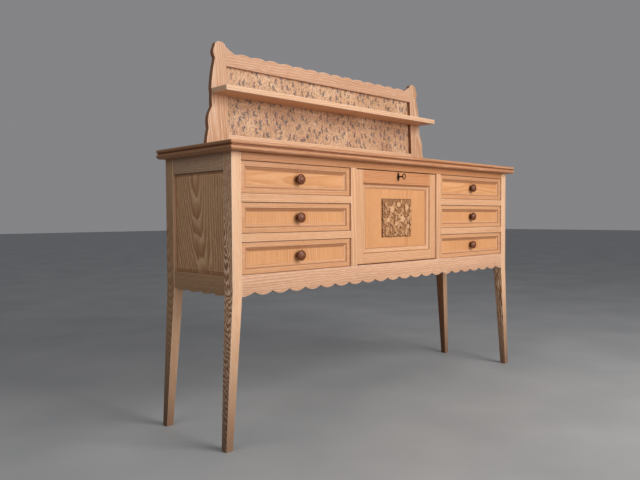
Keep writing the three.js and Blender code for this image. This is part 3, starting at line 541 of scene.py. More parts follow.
# ---- Dust boards, floor and back ----------------------------------------------------
# Each drawer runs on a rail with a thin board behind it. The floor and the back are plain
# oak boards glued edge to edge, and the back is nailed into the posts and partitions.
def from_cad(name):
    """A merged copy of a CAD node, with its flat faces whole again."""
    solid = bmesh.new()
    solid.from_mesh(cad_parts[name].data)
    bmesh.ops.remove_doubles(solid, verts=solid.verts, dist=1e-5)
    bmesh.ops.dissolve_limit(solid, angle_limit=math.radians(1.0), verts=solid.verts, edges=solid.edges)
    return solid


def close_row(tree, given, head, set_as):
    """Ends a tree with a head on each point of a row, scaled or turned as set_as says."""
    row = {"Count": given["Count"], "Offset": given["Spacing"]}
    row = node(tree, "GeometryNodeMeshLine", row, mode="OFFSET")
    heads = node(tree, "GeometryNodeInstanceOnPoints", {"Points": row, "Instance": head, **set_as})
    return close_tree(tree, heads, given["Finish"])


def nail_row_tree():
    """A row of round nail heads, each a low dome."""
    tree, given = open_tree("nail_row", {
        "Count": 5, "Spacing": (0.1, 0.0, 0.0), "Head radius": 0.003, "Head height": 0.001})
    radius = given["Head radius"]
    head = node(tree, "GeometryNodeMeshUVSphere", {"Segments": 12, "Rings": 6, "Radius": radius})
    flat = node(tree, "Math", (given["Head height"], radius), operation="DIVIDE")
    return close_row(tree, given, head, {"Scale": node(tree, "CombineXYZ", (1.0, flat, 1.0))})


def row_of(tree, start, count, step, radius, finish, height=0.0):
    """A row of nail or screw heads from a start point, each a step on from the last."""
    row = grown(tree, {
        "Count": count, "Spacing": tuple(v * MM for v in step), "Head radius": radius * MM,
        "Head height": height * MM, "Finish": finish})
    bmesh.ops.translate(row, verts=row.verts, vec=Vector(start) * MM)
    return row


def joined(solids):
    """Several solids as one, each keeping its own shape."""
    whole = bmesh.new()
    for solid in solids:
        mesh = bpy.data.meshes.new("part")
        solid.to_mesh(mesh)
        solid.free()
        whole.from_mesh(mesh)
        bpy.data.meshes.remove(mesh)
    return whole


def forged_metal(name, dark, light, rough):
    """Metal with a worked surface: patches of tarnish, and a fine uneven grit about 1.2 mm across."""
    grit = 1.2
    material, tree, place = blank_material(name)
    patches = node(tree, "TexNoise", {"Vector": place, "Scale": 120.0, "Detail": 4.0})
    tint = node(tree, "ValToRGB", (patches,), ((0.35, dark), (0.68, light)))
    fine = node(tree, "TexNoise", {"Vector": place, "Scale": 1.0 / (grit * MM), "Detail": 2.0})
    dull = node(tree, "MapRange", {"Value": fine, "To Min": rough - 0.12, "To Max": rough + 0.12})
    finish_material(tree, {"Base Color": tint, "Metallic": 1.0, "Roughness": dull}, fine, 0.25, 0.2)
    return material


inner_oak = limed_oak("plain_oak_inner", "#C9A27A", "#A67B53", "#D8C2A2", ring=10.0, figure=0.5, liming=0.25)
board_oak = limed_oak("plain_oak_boards", "#C49B72", "#9E7149", "#D5BE9E", ring=12.0, figure=0.6, liming=0.25,
                      plank=120.0, ripple=4.0)
steel = forged_metal("bright_steel", "#8A8C8E", "#B4B6B8", 0.34)
RAIL_DEPTH = 26.0
for side in ("left", "right"):
    for height, heart in (("upper", 60.0), ("lower", -64.0)):
        name = "dust_board_" + height + "_" + side
        box = cad(name)
        behind = sawn(box, "x", (90.0, 20.0))
        rail = sawn(box[:2] + (box[2], box[2] + RAIL_DEPTH) + box[4:], "x", (14.0, heart))

        def is_board(face):
            return face.center.y / MM >= box[2] + RAIL_DEPTH + 0.5

        settle(name, ease(from_cad(name), 1.3), [oak, inner_oak],
               lambda face: behind if is_board(face) else rail, finish_of=is_board)
box = cad("cabinet_floor")
settle("cabinet_floor", ease(from_cad("cabinet_floor"), 0.8), board_oak, sawn(box, "x", (-20.0, 45.0)))
x0, x1, y0, y1, z0, z1 = box = cad("back_panel")
settle("back_panel", ease(board(box), 0.8), board_oak, sawn(box, "x", (30.0, 12.0)))

nail_row = nail_row_tree()
NAIL_SPACING = 95.0
NAIL_INSET = 15.0
NAIL_CLEAR = 40.0
NAIL_HEAD, NAIL_DOME = 2.6, 0.9
TOP_LINE, FOOT_LINE, PARTITION_LINE = 12.0, 9.0, 262.0
across = round((x1 - x0 - 2 * NAIL_INSET) / NAIL_SPACING)
down = round((z1 - z0 - 2 * NAIL_INSET) / NAIL_SPACING)
step_x = (x1 - x0 - 2 * NAIL_INSET) / across
step_z = (z1 - z0 - 2 * NAIL_CLEAR) / (down - 1)
rows = [row_of(nail_row, (x, y1, z), count, step, NAIL_HEAD, steel, NAIL_DOME) for x, z, count, step in (
    (x0 + NAIL_INSET, z1 - TOP_LINE, across + 1, (step_x, 0.0, 0.0)),
    (x0 + NAIL_INSET, z0 + FOOT_LINE, across + 1, (step_x, 0.0, 0.0)),
    (-PARTITION_LINE, z0 + NAIL_CLEAR, down, (0.0, 0.0, step_z)),
    (PARTITION_LINE, z0 + NAIL_CLEAR, down, (0.0, 0.0, step_z)))]
settle("back_panel_nails", joined(rows), steel, sawn(box, "x", (0.0, 0.0)), stands_for=())


# ---- Worktop ------------------------------------------------------------------------
# Oak boards glued up to one top, planed flat and moulded on the front and both ends with
# a small round, a fine groove and a larger round below it. It is screwed down from inside.
def rounded_level(x0, x1, y0, y1, z, radius):
    """A rectangle whose two front corners are rounded, at one height."""
    turns = 5
    points = []
    for cx, start in ((x0 + radius, math.pi), (x1 - radius, 1.5 * math.pi)):
        for i in range(turns + 1):
            angle = start + i / turns * math.pi / 2
            points.append((cx + radius * math.cos(angle), y0 + radius + radius * math.sin(angle), z))
    return points + [(x1, y1, z), (x0, y1, z)]


worktop_oak = limed_oak("limed_oak_worktop", "#C18B66", "#9D6640", "#D0AD91", ring=7.0, figure=0.45,
                        liming=0.45, plank=108.0, ripple=4.0)
x0, x1, y0, y1, z0, z1 = box = cad("worktop")
CORNER = 4.0
SMALL_ROUND = 11.0
GROOVE = 4.4
FILLET = 1.2
LOW_BULGE = 7.0
HIGH_BULGE = 3.6
groove_top = z1 - SMALL_ROUND
groove_foot = z1 - SMALL_ROUND - GROOVE
low_round = groove_foot - z0 - FILLET
moulding = [(9.0, z0), (7.6, z0 + 0.8)]
for i in range(9):
    turn = i / 8 * math.pi * 0.78 - math.pi * 0.28
    height = z0 + FILLET + low_round * (0.5 + 0.5 * math.sin(turn))
    moulding.append((LOW_BULGE - LOW_BULGE * math.cos(turn), height))
moulding += [(5.4, groove_foot + 0.3), (5.6, groove_top - 0.3)]
for i in range(9):
    turn = (i / 8 - 0.5) * math.pi
    height = z1 - SMALL_ROUND / 2 + SMALL_ROUND / 2 * math.sin(turn)
    moulding.append((HIGH_BULGE - HIGH_BULGE * math.cos(turn), height))
top = ease(loft([rounded_level(x0 + e, x1 - e, y0 + e, y1, z, CORNER) for e, z in moulding]), 0.3, 1, 50.0)


def on_worktop(face, c):
    """The groove holds dark wax; the strip along the underside and the ends, which also take the shaded copy
    of the oak, are painted shade.
    """
    if groove_foot - 0.6 < c.z < groove_top + 0.6 or c.z < z0 + 1.0:
        return -1.0 if c.y < y1 - 2.0 and len(face.verts) < 9 else 0.0
    return -0.5 if abs(face.normal.x) > 0.6 else 0.0


settle("worktop", wear_in(top, on_worktop), [worktop_oak, shaded_oak],
       sawn(box, "x", (120.0, -75.0), lean=0.004), sharp=40.0,
       finish_of=lambda face: abs(face.normal.x) > 0.6)


# ---- Gallery ------------------------------------------------------------------------
# Two shaped stiles, a lobed top rail and a base rail lean back a little on the worktop's
# rear edge. A shelf crosses them, and a thin printed panel is pinned in behind.
LEAN = 0.04
INNER, OUTER, _, _, BASE, _ = cad("gallery_stile_right")
FACE = cad("gallery_base_rail")[2]
THICKNESS = 20.0
BACK = FACE + THICKNESS


def leaning(x, y, z):
    """A point moved back by the gallery's lean."""
    return (x, y + LEAN * (z - BASE), z)


WAVES = (  # height from, to, half width from, to, swell
    (BASE, 1042.0, OUTER, 638.0, 3.0),
    (1042.0, 1123.0, 638.0, 620.0, 9.0),
    (1123.0, 1168.0, 620.0, 619.0, 1.0),
    (1190.0, 1302.0, 621.0, 600.0, 2.5),
    (1302.0, 1346.0, 600.0, 600.0, 7.0),
)
CREST = ((598.5, 1353.0), (594.0, 1360.0), (586.0, 1364.5), (576.0, 1366.0), (565.0, 1364.8), (556.0, 1360.5),
         (INNER, 1352.0))
edge = []
for low, high, start, end, swell in WAVES:
    for i in range(13):
        t = i / 12
        point = (start + (end - start) * t + swell * math.sin(math.pi * t), low + (high - low) * t)
        if not edge or point[1] > edge[-1][1] + 0.5:
            edge.append(point)
outline = [(INNER, BASE)] + edge + list(CREST)
stile_oak = limed_oak("limed_oak_stile", "#D3A885", "#A77754", "#E5D0BF", ring=7.0, figure=0.4, liming=0.4,
                      wander=45.0, ripple=6.0)
for name, outwards in (("gallery_stile_left", -1), ("gallery_stile_right", 1)):
    shape = ease(loft([[leaning(outwards * x, y, z) for x, z in outline] for y in (FACE, BACK)]), 1.2)
    # Painted shade darkens the sawn edges, which also take the shaded copy of the oak; only the face was
    # brushed.
    wear_in(shape, lambda face, middle: SIDE_SHADE if abs(face.normal.x) > 0.7 else None)
    settle(name, shape, [stile_oak, shaded_oak], sawn(cad(name), "z", (outwards * 4.0, 30.0), lean=0.05),
           finish_of=lambda face: abs(face.normal.x) > 0.5)

CREST_LOBES = 14
LOBE_TOP = 1334.0
box = cad("gallery_top_rail")
rail = grown(lobed_rail, {
    "Half length": box[1] * MM, "Lobed half": CREST_LOBES / 2 * LONG_PITCH * MM,
    "Lobe pitch": LONG_PITCH * MM, "Lobe depth": 6.5 * MM, "Shoulder": (box[5] - LOBE_TOP) * MM,
    "Lobed edge": LOBE_TOP * MM, "Straight edge": box[4] * MM, "Outwards": -1.0,
    "Thickness": THICKNESS * MM, "Finish": apron_oak})
for vert in rail.verts:
    vert.co.y += FACE * MM + LEAN * (vert.co.z - BASE * MM)
settle("gallery_top_rail", ease(rail, 1.2), apron_oak, sawn(box, "x", (18.0, -76.0), lean=0.006))
box = cad("gallery_base_rail")
corners = ((box[0], FACE), (box[0], BACK), (box[1], BACK), (box[1], FACE))
rail = loft([[leaning(x, y, z) for x, y in corners] for z in box[4:]])
settle("gallery_base_rail", ease(rail, 1.2), quartered_oak, sawn(box, "x", (14.0, 70.0)))
box = cad("gallery_shelf")
settle("gallery_shelf", ease(from_cad("gallery_shelf"), 3.0, 4), quartered_oak, sawn(box, "x", (40.0, -60.0)))


def printed_panel(name):
    """Thin plywood covered with a printed paper of upright flower sprigs, aged to cream.

    Sprigs stand about 36 mm apart, with small buds between them; the colours have faded."""
    material, tree, place = blank_material(name)
    split = node(tree, "SeparateXYZ", (place,), out=None)
    flat = node(tree, "CombineXYZ", {"X": split["X"], "Y": split["Z"]})
    # Printed by hand, no two sprigs are quite alike, so each is pushed out of shape a little.
    push = node(tree, "TexNoise", {"Vector": place, "Scale": 85.0, "Detail": 1.0}, out="Color")
    push = node(tree, "VectorMath", (push, (0.5, 0.5, 0.5)), operation="SUBTRACT")
    flat = node(tree, "VectorMath", (push, (14.0 * MM, 14.0 * MM, 0.0), flat), operation="MULTIPLY_ADD")

    def scattered(spacing):
        """Cells this many millimetres apart: millimetres from each cell's middle, and its chances."""
        cells = {"Vector": flat, "Scale": 1.0 / MM / spacing, "Randomness": 0.9}
        cells = node(tree, "TexVoronoi", cells, out=None, voronoi_dimensions="2D")
        chance = node(tree, "SeparateXYZ", (cells["Color"],), out=None)
        angle = node(tree, "Math", (chance["Z"], 0.9, -0.45), operation="MULTIPLY_ADD")
        away = node(tree, "VectorMath", (flat, cells["Position"]), operation="SUBTRACT")
        away = node(tree, "VectorRotate", {"Vector": away, "Angle": angle}, rotation_type="Z_AXIS")
        away = node(tree, "VectorMath", (away, (1.0 / MM,) * 3), operation="MULTIPLY")
        away = node(tree, "SeparateXYZ", (away,), out=None)
        return away["X"], away["Y"], chance["X"], chance["Y"]

    def leaf(x, y, cx, cy, wide, long, slant):
        """A leaf shape's mask: an ellipse with its middle at (cx, cy), leaning by slant."""
        dx = node(tree, "Math", (x, cx), operation="SUBTRACT")
        dy = node(tree, "Math", (y, cy), operation="SUBTRACT")
        dx = node(tree, "Math", (dy, -slant, dx), operation="MULTIPLY_ADD")
        squares = []
        for away, size in ((dx, wide), (dy, long)):
            share = node(tree, "Math", (away,), operation="ABSOLUTE")
            share = node(tree, "Math", (share, size), operation="DIVIDE")
            squares.append(node(tree, "Math", (share, 2.0), operation="POWER"))
        reach = node(tree, "Math", squares, operation="ADD")
        return node(tree, "Math", (reach, 1.0), operation="LESS_THAN")

    tone = node(tree, "TexNoise", {"Vector": place, "Scale": 9.0, "Detail": 5.0})
    paper = node(tree, "ValToRGB", (tone,), ((0.3, "#BC916D"), (0.55, "#D0A783"), (0.75, "#E4C2A0")))
    # Fine upright streaks of wear, and the shelf's shadow painted on the paper below it.
    streak = node(tree, "VectorMath", (place, (420.0, 420.0, 90.0)), operation="MULTIPLY")
    fleck = node(tree, "TexNoise", {"Vector": streak, "Scale": 1.0, "Detail": 2.0})
    worn = node(tree, "ValToRGB", (fleck,), ((0.38, 0.45), (0.55, 1.0)))
    faded = node(tree, "ValToRGB", (fleck,), ((0.36, 0.36), (0.5, 0.0)))
    shelf_underside = 1.145
    under = node(tree, "Math", (split["Z"], shelf_underside), operation="LESS_THAN")
    shelf_shadow = node(tree, "MapRange", {
        "Value": split["Z"], "From Min": 1.0, "From Max": 1.13, "To Min": 0.0, "To Max": 0.2})
    shelf_shadow = node(tree, "Math", (shelf_shadow, under), operation="MULTIPLY")
    colour = node(tree, "Mix", {0: faded, 6: paper, 7: "#8A6144"}, out=2, data_type="RGBA")
    colour = node(tree, "Mix", {0: shelf_shadow, 6: colour, 7: "#7A4C2C"}, out=2, data_type="RGBA")
    # Each motif's spacing and strength, then its parts: ink, middle, half width, half height, slant.
    sprig = (("green", 0.0, -6.0, 1.9, 10.0, 0.12), ("green", -4.0, -5.0, 2.4, 6.0, 0.55),
             ("green", 4.2, -8.0, 2.2, 6.0, -0.5), ("bloom", 0.6, 5.6, 4.6, 5.0, 0.0),
             ("bloom", -5.4, 2.0, 2.5, 3.2, 0.2), ("heart", 0.6, 5.6, 1.3, 1.5, 0.0))
    bud = (("green", 0.0, -1.5, 1.2, 4.6, 0.2), ("bloom", 0.4, 2.6, 1.9, 2.4, 0.0))
    for spacing, strength, parts in ((36.0, 0.95, sprig), (11.5, 0.8, bud)):
        x, y, first, second = scattered(spacing)
        inks = {"heart": "#C99A4A"}
        for ink, chance, shades in (
                ("bloom", first, ((0.0, "#3C4458"), (0.4, "#6A4C62"), (0.68, "#8C5450"), (0.88, "#A5743A"))),
                ("green", second, ((0.0, "#3B3E3C"), (0.45, "#434856"), (0.8, "#6A5A3C")))):
            inks[ink] = node(tree, "ValToRGB", (chance,), shades)
            inks[ink].node.color_ramp.interpolation = "CONSTANT"
        for ink, *shape in parts:
            mask = node(tree, "Math", (leaf(x, y, *shape), worn), operation="MULTIPLY")
            mask = node(tree, "Math", (mask, strength), operation="MULTIPLY")
            colour = node(tree, "Mix", {0: mask, 6: colour, 7: inks[ink]}, out=2, data_type="RGBA")
    finish_material(tree, {"Base Color": colour, "Roughness": 0.55, "IOR": 1.5}, fleck, 0.15, 0.2)
    return material


paper = printed_panel("printed_paper_on_plywood")
box = cad("tile_panel")
settle("tile_panel", ease(from_cad("tile_panel"), 0.4, 1), [paper, inner_oak],
       sawn(box, "x", (24.0, 30.0), lean=0.01),
       finish_of=lambda face: face.normal.y > -0.5)


# ---- Drawers ------------------------------------------------------------------------
# Six solid oak fronts, each a flat border, a fine groove and a mitred moulding round a
# sunk field, on boxes of thin boards. One dark turned knob is screwed to each field.
def upright(x0, x1, z0, z1, y):
    """A rectangle facing the front."""
    return [(x0, y, z0), (x1, y, z0), (x1, y, z1), (x0, y, z1)]


def framed(x0, x1, z0, z1, y0, section):
    """Upright rectangles that follow a section: how far in from the edge, and how deep."""
    return [upright(x0 + e, x1 - e, z0 + e, z1 - e, y0 + d) for e, d in section]


def hollow(start, end, top, bottom):
    """Eight points of a moulding that falls away steeply and flattens."""
    return [(start + (end - start) * t / 8, top + (bottom - top) * math.sin(t / 8 * math.pi / 2) ** 1.4)
            for t in range(1, 9)]


def spun(profile, x, z, turns=48):
    """A turned shape about a line that runs front to back; profile is radius and depth."""
    solid = loft([
        [(x + r * math.cos(2 * math.pi * i / turns), y, z + r * math.sin(2 * math.pi * i / turns))
         for i in range(turns)] for r, y in profile])
    bmesh.ops.recalc_face_normals(solid, faces=solid.faces)
    return solid


border_oak = limed_oak("limed_oak_border", "#D19C72", "#AE774C", "#E0BC9C", ring=5.5, figure=0.4, liming=0.4,
                       wander=22.0)
field_oak = limed_oak("limed_oak_field", "#D29867", "#B57A49", "#DEB791", ring=6.0, figure=0.35, liming=0.35)
knob_oak = limed_oak("smoked_oak_knob", "#864522", "#461D09", "#B7845B", ring=4.0, figure=0.8, liming=0.3,
                     rough=0.32)
BORDER = 17.0
MOULDING = 13.0
FIELD_DEPTH = 6.0
QUIRK = 1.6
QUIRK_DEPTH = 2.0
ARRIS = 1.4
WALL = 10.0
BOTTOM = 8.0
KNOB = (  # radius, and how far it stands out from the field
    (0.3, 0.0), (11.2, 0.0), (11.4, 0.8), (10.6, 2.0), (8.6, 2.6), (7.9, 4.5), (8.4, 7.0), (11.0, 9.2),
    (14.6, 10.6), (17.0, 12.4), (17.9, 14.8), (17.6, 17.2), (16.2, 19.4), (14.0, 21.0), (13.2, 20.9),
    (12.2, 21.4), (9.5, 23.4), (6.0, 24.9), (3.0, 25.7), (0.3, 26.0))
section = [(0.4, 0.4), (ARRIS, 0.0), (BORDER - 0.5, 0.0), (BORDER, 0.4), (BORDER, QUIRK_DEPTH - 0.1),
           (BORDER + QUIRK, QUIRK_DEPTH)]
section += hollow(BORDER + QUIRK, BORDER + MOULDING - 0.6, QUIRK_DEPTH, FIELD_DEPTH)
for side in ("left", "right"):
    for height in ("upper", "middle", "lower"):
        drawer = "drawer_" + height + "_" + side
        x0, x1, y0, y1, z0, z1 = box = cad(drawer + "_front")
        front = loft([upright(x0, x1, z0, z1, y1), upright(x0, x1, z0, z1, y0 + ARRIS)]
                     + framed(x0, x1, z0, z1, y0, section))

        def on_front(face, c):
            """Wax lies in the quirk and the moulding's foot; painted shade darkens the gap round the front,
            the moulding's top run and the upper drawers' top border under the worktop; one arris is rubbed.
            """
            rim = min(c.x - x0, x1 - c.x, c.z - z0, z1 - c.z)
            if 0.1 < rim < ARRIS:
                return -0.5
            # Painted shadow of the worktop's overhang on the upper drawers' top border.
            if height == "upper" and z1 - c.z < BORDER - 1.0 and c.y < y0 + 1.0:
                return -0.28
            if BORDER - 0.1 < rim < BORDER + QUIRK + 0.1 and c.y < y1 - 1.0:
                return -1.0
            if BORDER + QUIRK < rim < BORDER + MOULDING and c.y < y1 - 1.0:
                return -0.62 if z1 - c.z < BORDER + MOULDING else -0.4 if rim < BORDER + 4.5 else 0.0
            return 0.6 if BORDER - 0.5 < rim < BORDER - 0.1 else 0.0

        wear_in(front, on_front)
        bmesh.ops.recalc_face_normals(front, faces=front.faces)
        rail = sawn(box, "x", (14.0, 90.0))
        stile = sawn(box, "z", (280.0, 14.0))
        along, heart = ("x", (55.0, 8.0)) if height == "upper" else ("z", (30.0, 60.0))
        field = sawn(box, along, heart, lean=0.02)

        def margins(face):
            """How far a face lies in from the drawer's ends, and from its top and bottom."""
            c = face.center / MM
            return min(c.x - x0, x1 - c.x), min(c.z - z0, z1 - c.z)

        def lie(face):
            """The field, the moulding's upright parts and the rest each follow their own grain."""
            ends, sides = margins(face)
            if min(ends, sides) > BORDER + MOULDING - 1.0:
                return field
            return stile if BORDER < ends < sides else rail

        settle(drawer + "_front", front, [border_oak, field_oak], lie, drawer,
               finish_of=lambda face: lie(face) is field and face.center.y / MM < y0 + 10)

        # Sides run front to back, the back and the bottom across; the bottom sits in grooves.
        x0, x1, y0, y1, z0, z1 = cad(drawer + "_box")
        boards = [
            ("y", (x0, x0 + WALL, y0, y1, z0, z1)),
            ("y", (x1 - WALL, x1, y0, y1, z0, z1)),
            ("x", (x0 + WALL, x1 - WALL, y0, y0 + WALL, z0, z1)),
            ("x", (x0 + WALL, x1 - WALL, y1 - WALL, y1, z0, z1)),
            ("x", (x0 + WALL, x1 - WALL, y0 + WALL, y1 - WALL, z0, z0 + BOTTOM)),
        ]
        lies = [sawn(b, axis, (45.0, 20.0)) for axis, b in boards]

        def of_board(face):
            """The grain of the board that a face belongs to."""
            c = face.center / MM
            slack = [max(b[0] - c.x, c.x - b[1], b[2] - c.y, c.y - b[3], b[4] - c.z, c.z - b[5])
                     for _, b in boards]
            return lies[slack.index(min(slack))]

        settle(drawer + "_box", joined([ease(board(b), 0.8) for _, b in boards]), inner_oak, of_board, drawer)

        x0, x1, y0, y1, z0, z1 = box = cad(drawer + "_knob")
        knob = spun([(r, y1 - out) for r, out in KNOB], (x0 + x1) / 2, (z0 + z1) / 2)
        settle(drawer + "_knob", knob, knob_oak, sawn(box, "y", (3.0, 2.0)), drawer, sharp=50.0)


# ---- Fall flap ----------------------------------------------------------------------
# A framed oak flap hinged at its foot: stiles and rails round a moulded opening, a loose
# panel behind the moulding, and a hand-carved block of leaves and blossoms fixed to it.
SIDE_BORDER = 40.0
TOP_BORDER = 48.0
FLAP_MOULDING = 20.0
HEEL = 6.0
HEEL_STEPS = 6
FRONT_ARRIS = 1.2
PANEL_FACE = 9.0
REBATE = 10.0
x0, x1, y0, y1, z0, z1 = flap_box = cad("flap_frame")
rings = [upright(x0, x1, z0, z1, y1)]
for i in range(HEEL_STEPS + 1):
    turn = i / HEEL_STEPS * math.pi / 2
    inset = FRONT_ARRIS if i == HEEL_STEPS else 0.0
    rings.append(upright(x0 + inset, x1 - inset, z0 + HEEL * (1 - math.cos(turn)), z1 - inset,
                         y0 + HEEL * (1 - math.sin(turn))))
section = [(-0.5, 0.0), (0.0, 0.4), (0.0, 2.1), (QUIRK + 0.2, 2.2)] + hollow(1.8, 16.2, 2.2, 6.4)
section += [(16.4, 7.4), (19.4, 7.7), (FLAP_MOULDING, 8.1), (FLAP_MOULDING, PANEL_FACE),
            (FLAP_MOULDING - REBATE, PANEL_FACE), (FLAP_MOULDING - REBATE, y1 - y0)]
rings += framed(x0 + SIDE_BORDER, x1 - SIDE_BORDER, z0 + SIDE_BORDER, z1 - TOP_BORDER, y0, section)
flap = loft(rings, closed=True)
# The stiles run the whole height and the rails stop between them.
for joint in (x0 + SIDE_BORDER, x1 - SIDE_BORDER):
    bmesh.ops.bisect_plane(flap, geom=flap.verts[:] + flap.edges[:] + flap.faces[:], dist=1e-6,
                           plane_co=(joint * MM, 0.0, 0.0), plane_no=(1.0, 0.0, 0.0))
flap_stile = sawn(flap_box, "z", (290.0, 14.0), lean=0.008)
flap_rail = sawn(flap_box, "x", (14.0, 250.0), lean=0.008)


def flap_member(face):
    """The grain of the stile or rail that a face belongs to; the moulding is mitred."""
    c = face.center / MM
    edge = min(c.x - x0, x1 - c.x)
    if edge < SIDE_BORDER - 0.2:
        return flap_stile
    below, above = c.z - z0 - SIDE_BORDER, z1 - TOP_BORDER - c.z
    return flap_stile if edge - SIDE_BORDER < min(below, above) else flap_rail


def on_flap(face, c):
    """The quirk and the moulding's foot hold dark wax all round; the wide dark band under its top edge and
    the dark fillet by the panel are painted shade.
    """
    rim = min(c.x - x0 - SIDE_BORDER, x1 - SIDE_BORDER - c.x, c.z - z0 - SIDE_BORDER, z1 - TOP_BORDER - c.z)
    if -0.1 < rim < 1.8 and c.y < y0 + 5.0:
        return -1.0
    if 1.8 < rim < 16.2 and c.y < y0 + PANEL_FACE:
        if z1 - TOP_BORDER - c.z < FLAP_MOULDING:
            return -0.95 if rim < 6.5 else -0.2
        return -0.35 if rim < 3.0 else 0.0
    return -0.5 if 0 < rim < FLAP_MOULDING + 0.1 and c.y < y0 + PANEL_FACE else None


# The top rail takes the browner copy of the oak: painted shadow of the worktop's overhang.
settle("flap_frame", wear_in(ease(flap, 0.3, 1, 75.0), on_flap), [oak, overhang_shaded_oak], flap_member, "flap",
       finish_of=lambda face: flap_member(face) is flap_rail and face.center.z / MM > z1 - TOP_BORDER)
box = cad("flap_panel")
settle("flap_panel", ease(board(box), 0.6, 1), field_oak, sawn(box, "z", (55.0, 60.0), lean=0.02), "flap")


def stem_height(u, v, foot):
    """Four round stems that rise from the block's lower edge and bend a little."""
    best = 0.0
    thick = 3.6
    for sx, heading, bend, length in ((-18.0, 62.0, 0.45, 84.0), (22.0, 100.0, -0.3, 110.0),
                                      (-52.0, 84.0, 0.2, 92.0), (58.0, 86.0, 0.25, 100.0)):
        for i in range(13):
            t = i / 12
            angle = math.radians(heading) + bend * (t - 0.5)
            px, pz = sx + math.cos(angle) * length * t, math.sin(angle) * length * t + foot
            d = math.hypot(u - px, v - pz)
            best = max(best, 0.5 * (1 - (d / thick) ** 2)) if d < thick else best
    return best


def leaf_height(u, v, foot):
    """Leaves in rows up the stems; each leans its own way and hides part of the one behind."""
    best = 0.0
    for row in range(8):
        for place in range(11):
            chance = (row * 11 + place) * 0.618 % 1.0
            lx = (place - 5.0) * 17.0 + 7.0 * math.sin(row * 2.3 + place)
            lz = row * 17.5 + foot - 2.0 + 6.0 * math.sin(place * 1.9 + row)
            a = math.radians(90.0 + 66.0 * math.sin(place * 2.7 + row * 1.3))
            long, wide = 21.0 + 9.0 * chance, 9.0 + 5.0 * (1 - chance)
            du, dv = u - lx, v - lz
            s = (du * math.cos(a) + dv * math.sin(a)) / long
            if not 0.0 < s < 1.0:
                continue
            t = -du * math.sin(a) + dv * math.cos(a)
            half = wide / 2 * math.sin(math.pi * s ** 0.8) * (1 + 0.12 * math.sin(s * 24))
            if half > 0.3 and abs(t) < half:
                body = 0.3 + 0.3 * chance + 0.3 * math.sqrt(1 - (t / half) ** 2)
                vein = 0.1 * math.cos((s * long - abs(t) * 0.9) / 3.4 * math.pi) * (1 - abs(t) / half)
                rib = -0.22 if abs(t) < 0.9 else 0.0
                best = max(best, body + vein + rib)
    return best


def blossom_height(u, v):
    """Seven five-petalled blossoms with round middles, cut deepest between the petals."""
    best = 0.0
    for bx, bz, radius in ((-34.0, 34.0, 15.0), (30.0, -4.0, 16.0), (4.0, 52.0, 12.0), (-58.0, -8.0, 11.0),
                           (58.0, 42.0, 12.0), (-8.0, -22.0, 11.0), (66.0, -34.0, 10.0)):
        d = math.hypot(u - bx, v - bz)
        lobe = abs(math.cos(2.5 * math.atan2(v - bz, u - bx)))
        petal = radius * (0.74 + 0.26 * lobe)
        if d < petal:
            cup = 0.62 + 0.3 * math.sin(math.pi * min(1.0, d / petal) * 0.9) - 0.12 * (1 - lobe)
            best = max(best, 1.0 if d < radius * 0.24 else cup)
    return best


def carved_oak(name):
    """Oak carved by hand, waxed brown: the ground holds the dark wax, and the high parts are rubbed; the
    darkest values, beside high carving and on the rim, are painted shade.
    """
    material, tree, place = blank_material(name)
    height = node(tree, "Attribute", out="Fac", attribute_name="carving")
    spread = node(tree, "VectorMath", (place, (260.0, 260.0, 26.0)), operation="MULTIPLY")
    fibre = node(tree, "TexNoise", {"Vector": spread, "Scale": 1.0, "Detail": 3.0})
    mixed = node(tree, "Math", (fibre, 0.35, height), operation="MULTIPLY_ADD")
    tint = node(tree, "ValToRGB", (mixed,), (
        (0.0, "#4E3018"), (0.14, "#8E5F36"), (0.3, "#A8774C"), (0.85, "#AE7E53"), (1.0, "#CBA07A")))
    finish_material(tree, {"Base Color": tint, "Roughness": 0.55, "IOR": 1.5}, fibre, 0.3, 0.4)
    return material


x0, x1, y0, y1, z0, z1 = box = cad("carved_plaque")
CARVING_DEPTH = 5.0
CELL = 1.2
NOTCH = 5.0
NOTCH_PITCH = 11.3
NOTCH_CELLS = 4
RIM_DROP = 0.6
RIM_SHADE = -0.2
columns, lines = round((x1 - x0) / CELL), round((z1 - z0) / CELL)
foot = (z0 - z1) / 2
grid = {}
for i in range(columns + 1):
    for j in range(lines + 1):
        u, v = (i / columns - 0.5) * (x1 - x0), (j / lines - 0.5) * (z1 - z0)
        carved = max(stem_height(u, v, foot), leaf_height(u, v, foot), blossom_height(u, v))
        # Flat gouge marks roughen the ground.
        grid[i, j] = u, v, (carved + 0.12 * noise.noise(Vector((u * 0.22, v * 0.3, 0.0)))
                            + 0.04 * noise.noise(Vector((u * 0.9, v * 0.9, 5.0))))
plaque = bmesh.new()
carving = plaque.verts.layers.float.new("carving")
places = {}
for (i, j), (u, v, up) in grid.items():
    rim = min(i, columns - i, j, lines - j)
    # Painted shade darkens the ground where the carving drops beside something higher.
    beside = max(grid[i + a, j + b][2] for a in (-1, 0, 1) for b in (-1, 0, 1) if (i + a, j + b) in grid)
    # Short cuts notch the lower edge.
    if j < NOTCH_CELLS:
        v += NOTCH * abs(math.sin(math.pi * (u + 90.0) / NOTCH_PITCH)) * (1 - j / NOTCH_CELLS)
    drop = 0.0 if rim > 0 else RIM_DROP
    places[i, j] = plaque.verts.new((((x0 + x1) / 2 + u) * MM, (y0 + CARVING_DEPTH * (1 - up) + drop) * MM,
                                     ((z0 + z1) / 2 + v) * MM))
    # The rim takes painted shade.
    places[i, j][carving] = up - 0.55 * (beside - up) if rim > 1 else RIM_SHADE
for i in range(columns):
    for j in range(lines):
        plaque.faces.new((places[i, j], places[i + 1, j], places[i + 1, j + 1], places[i, j + 1]))
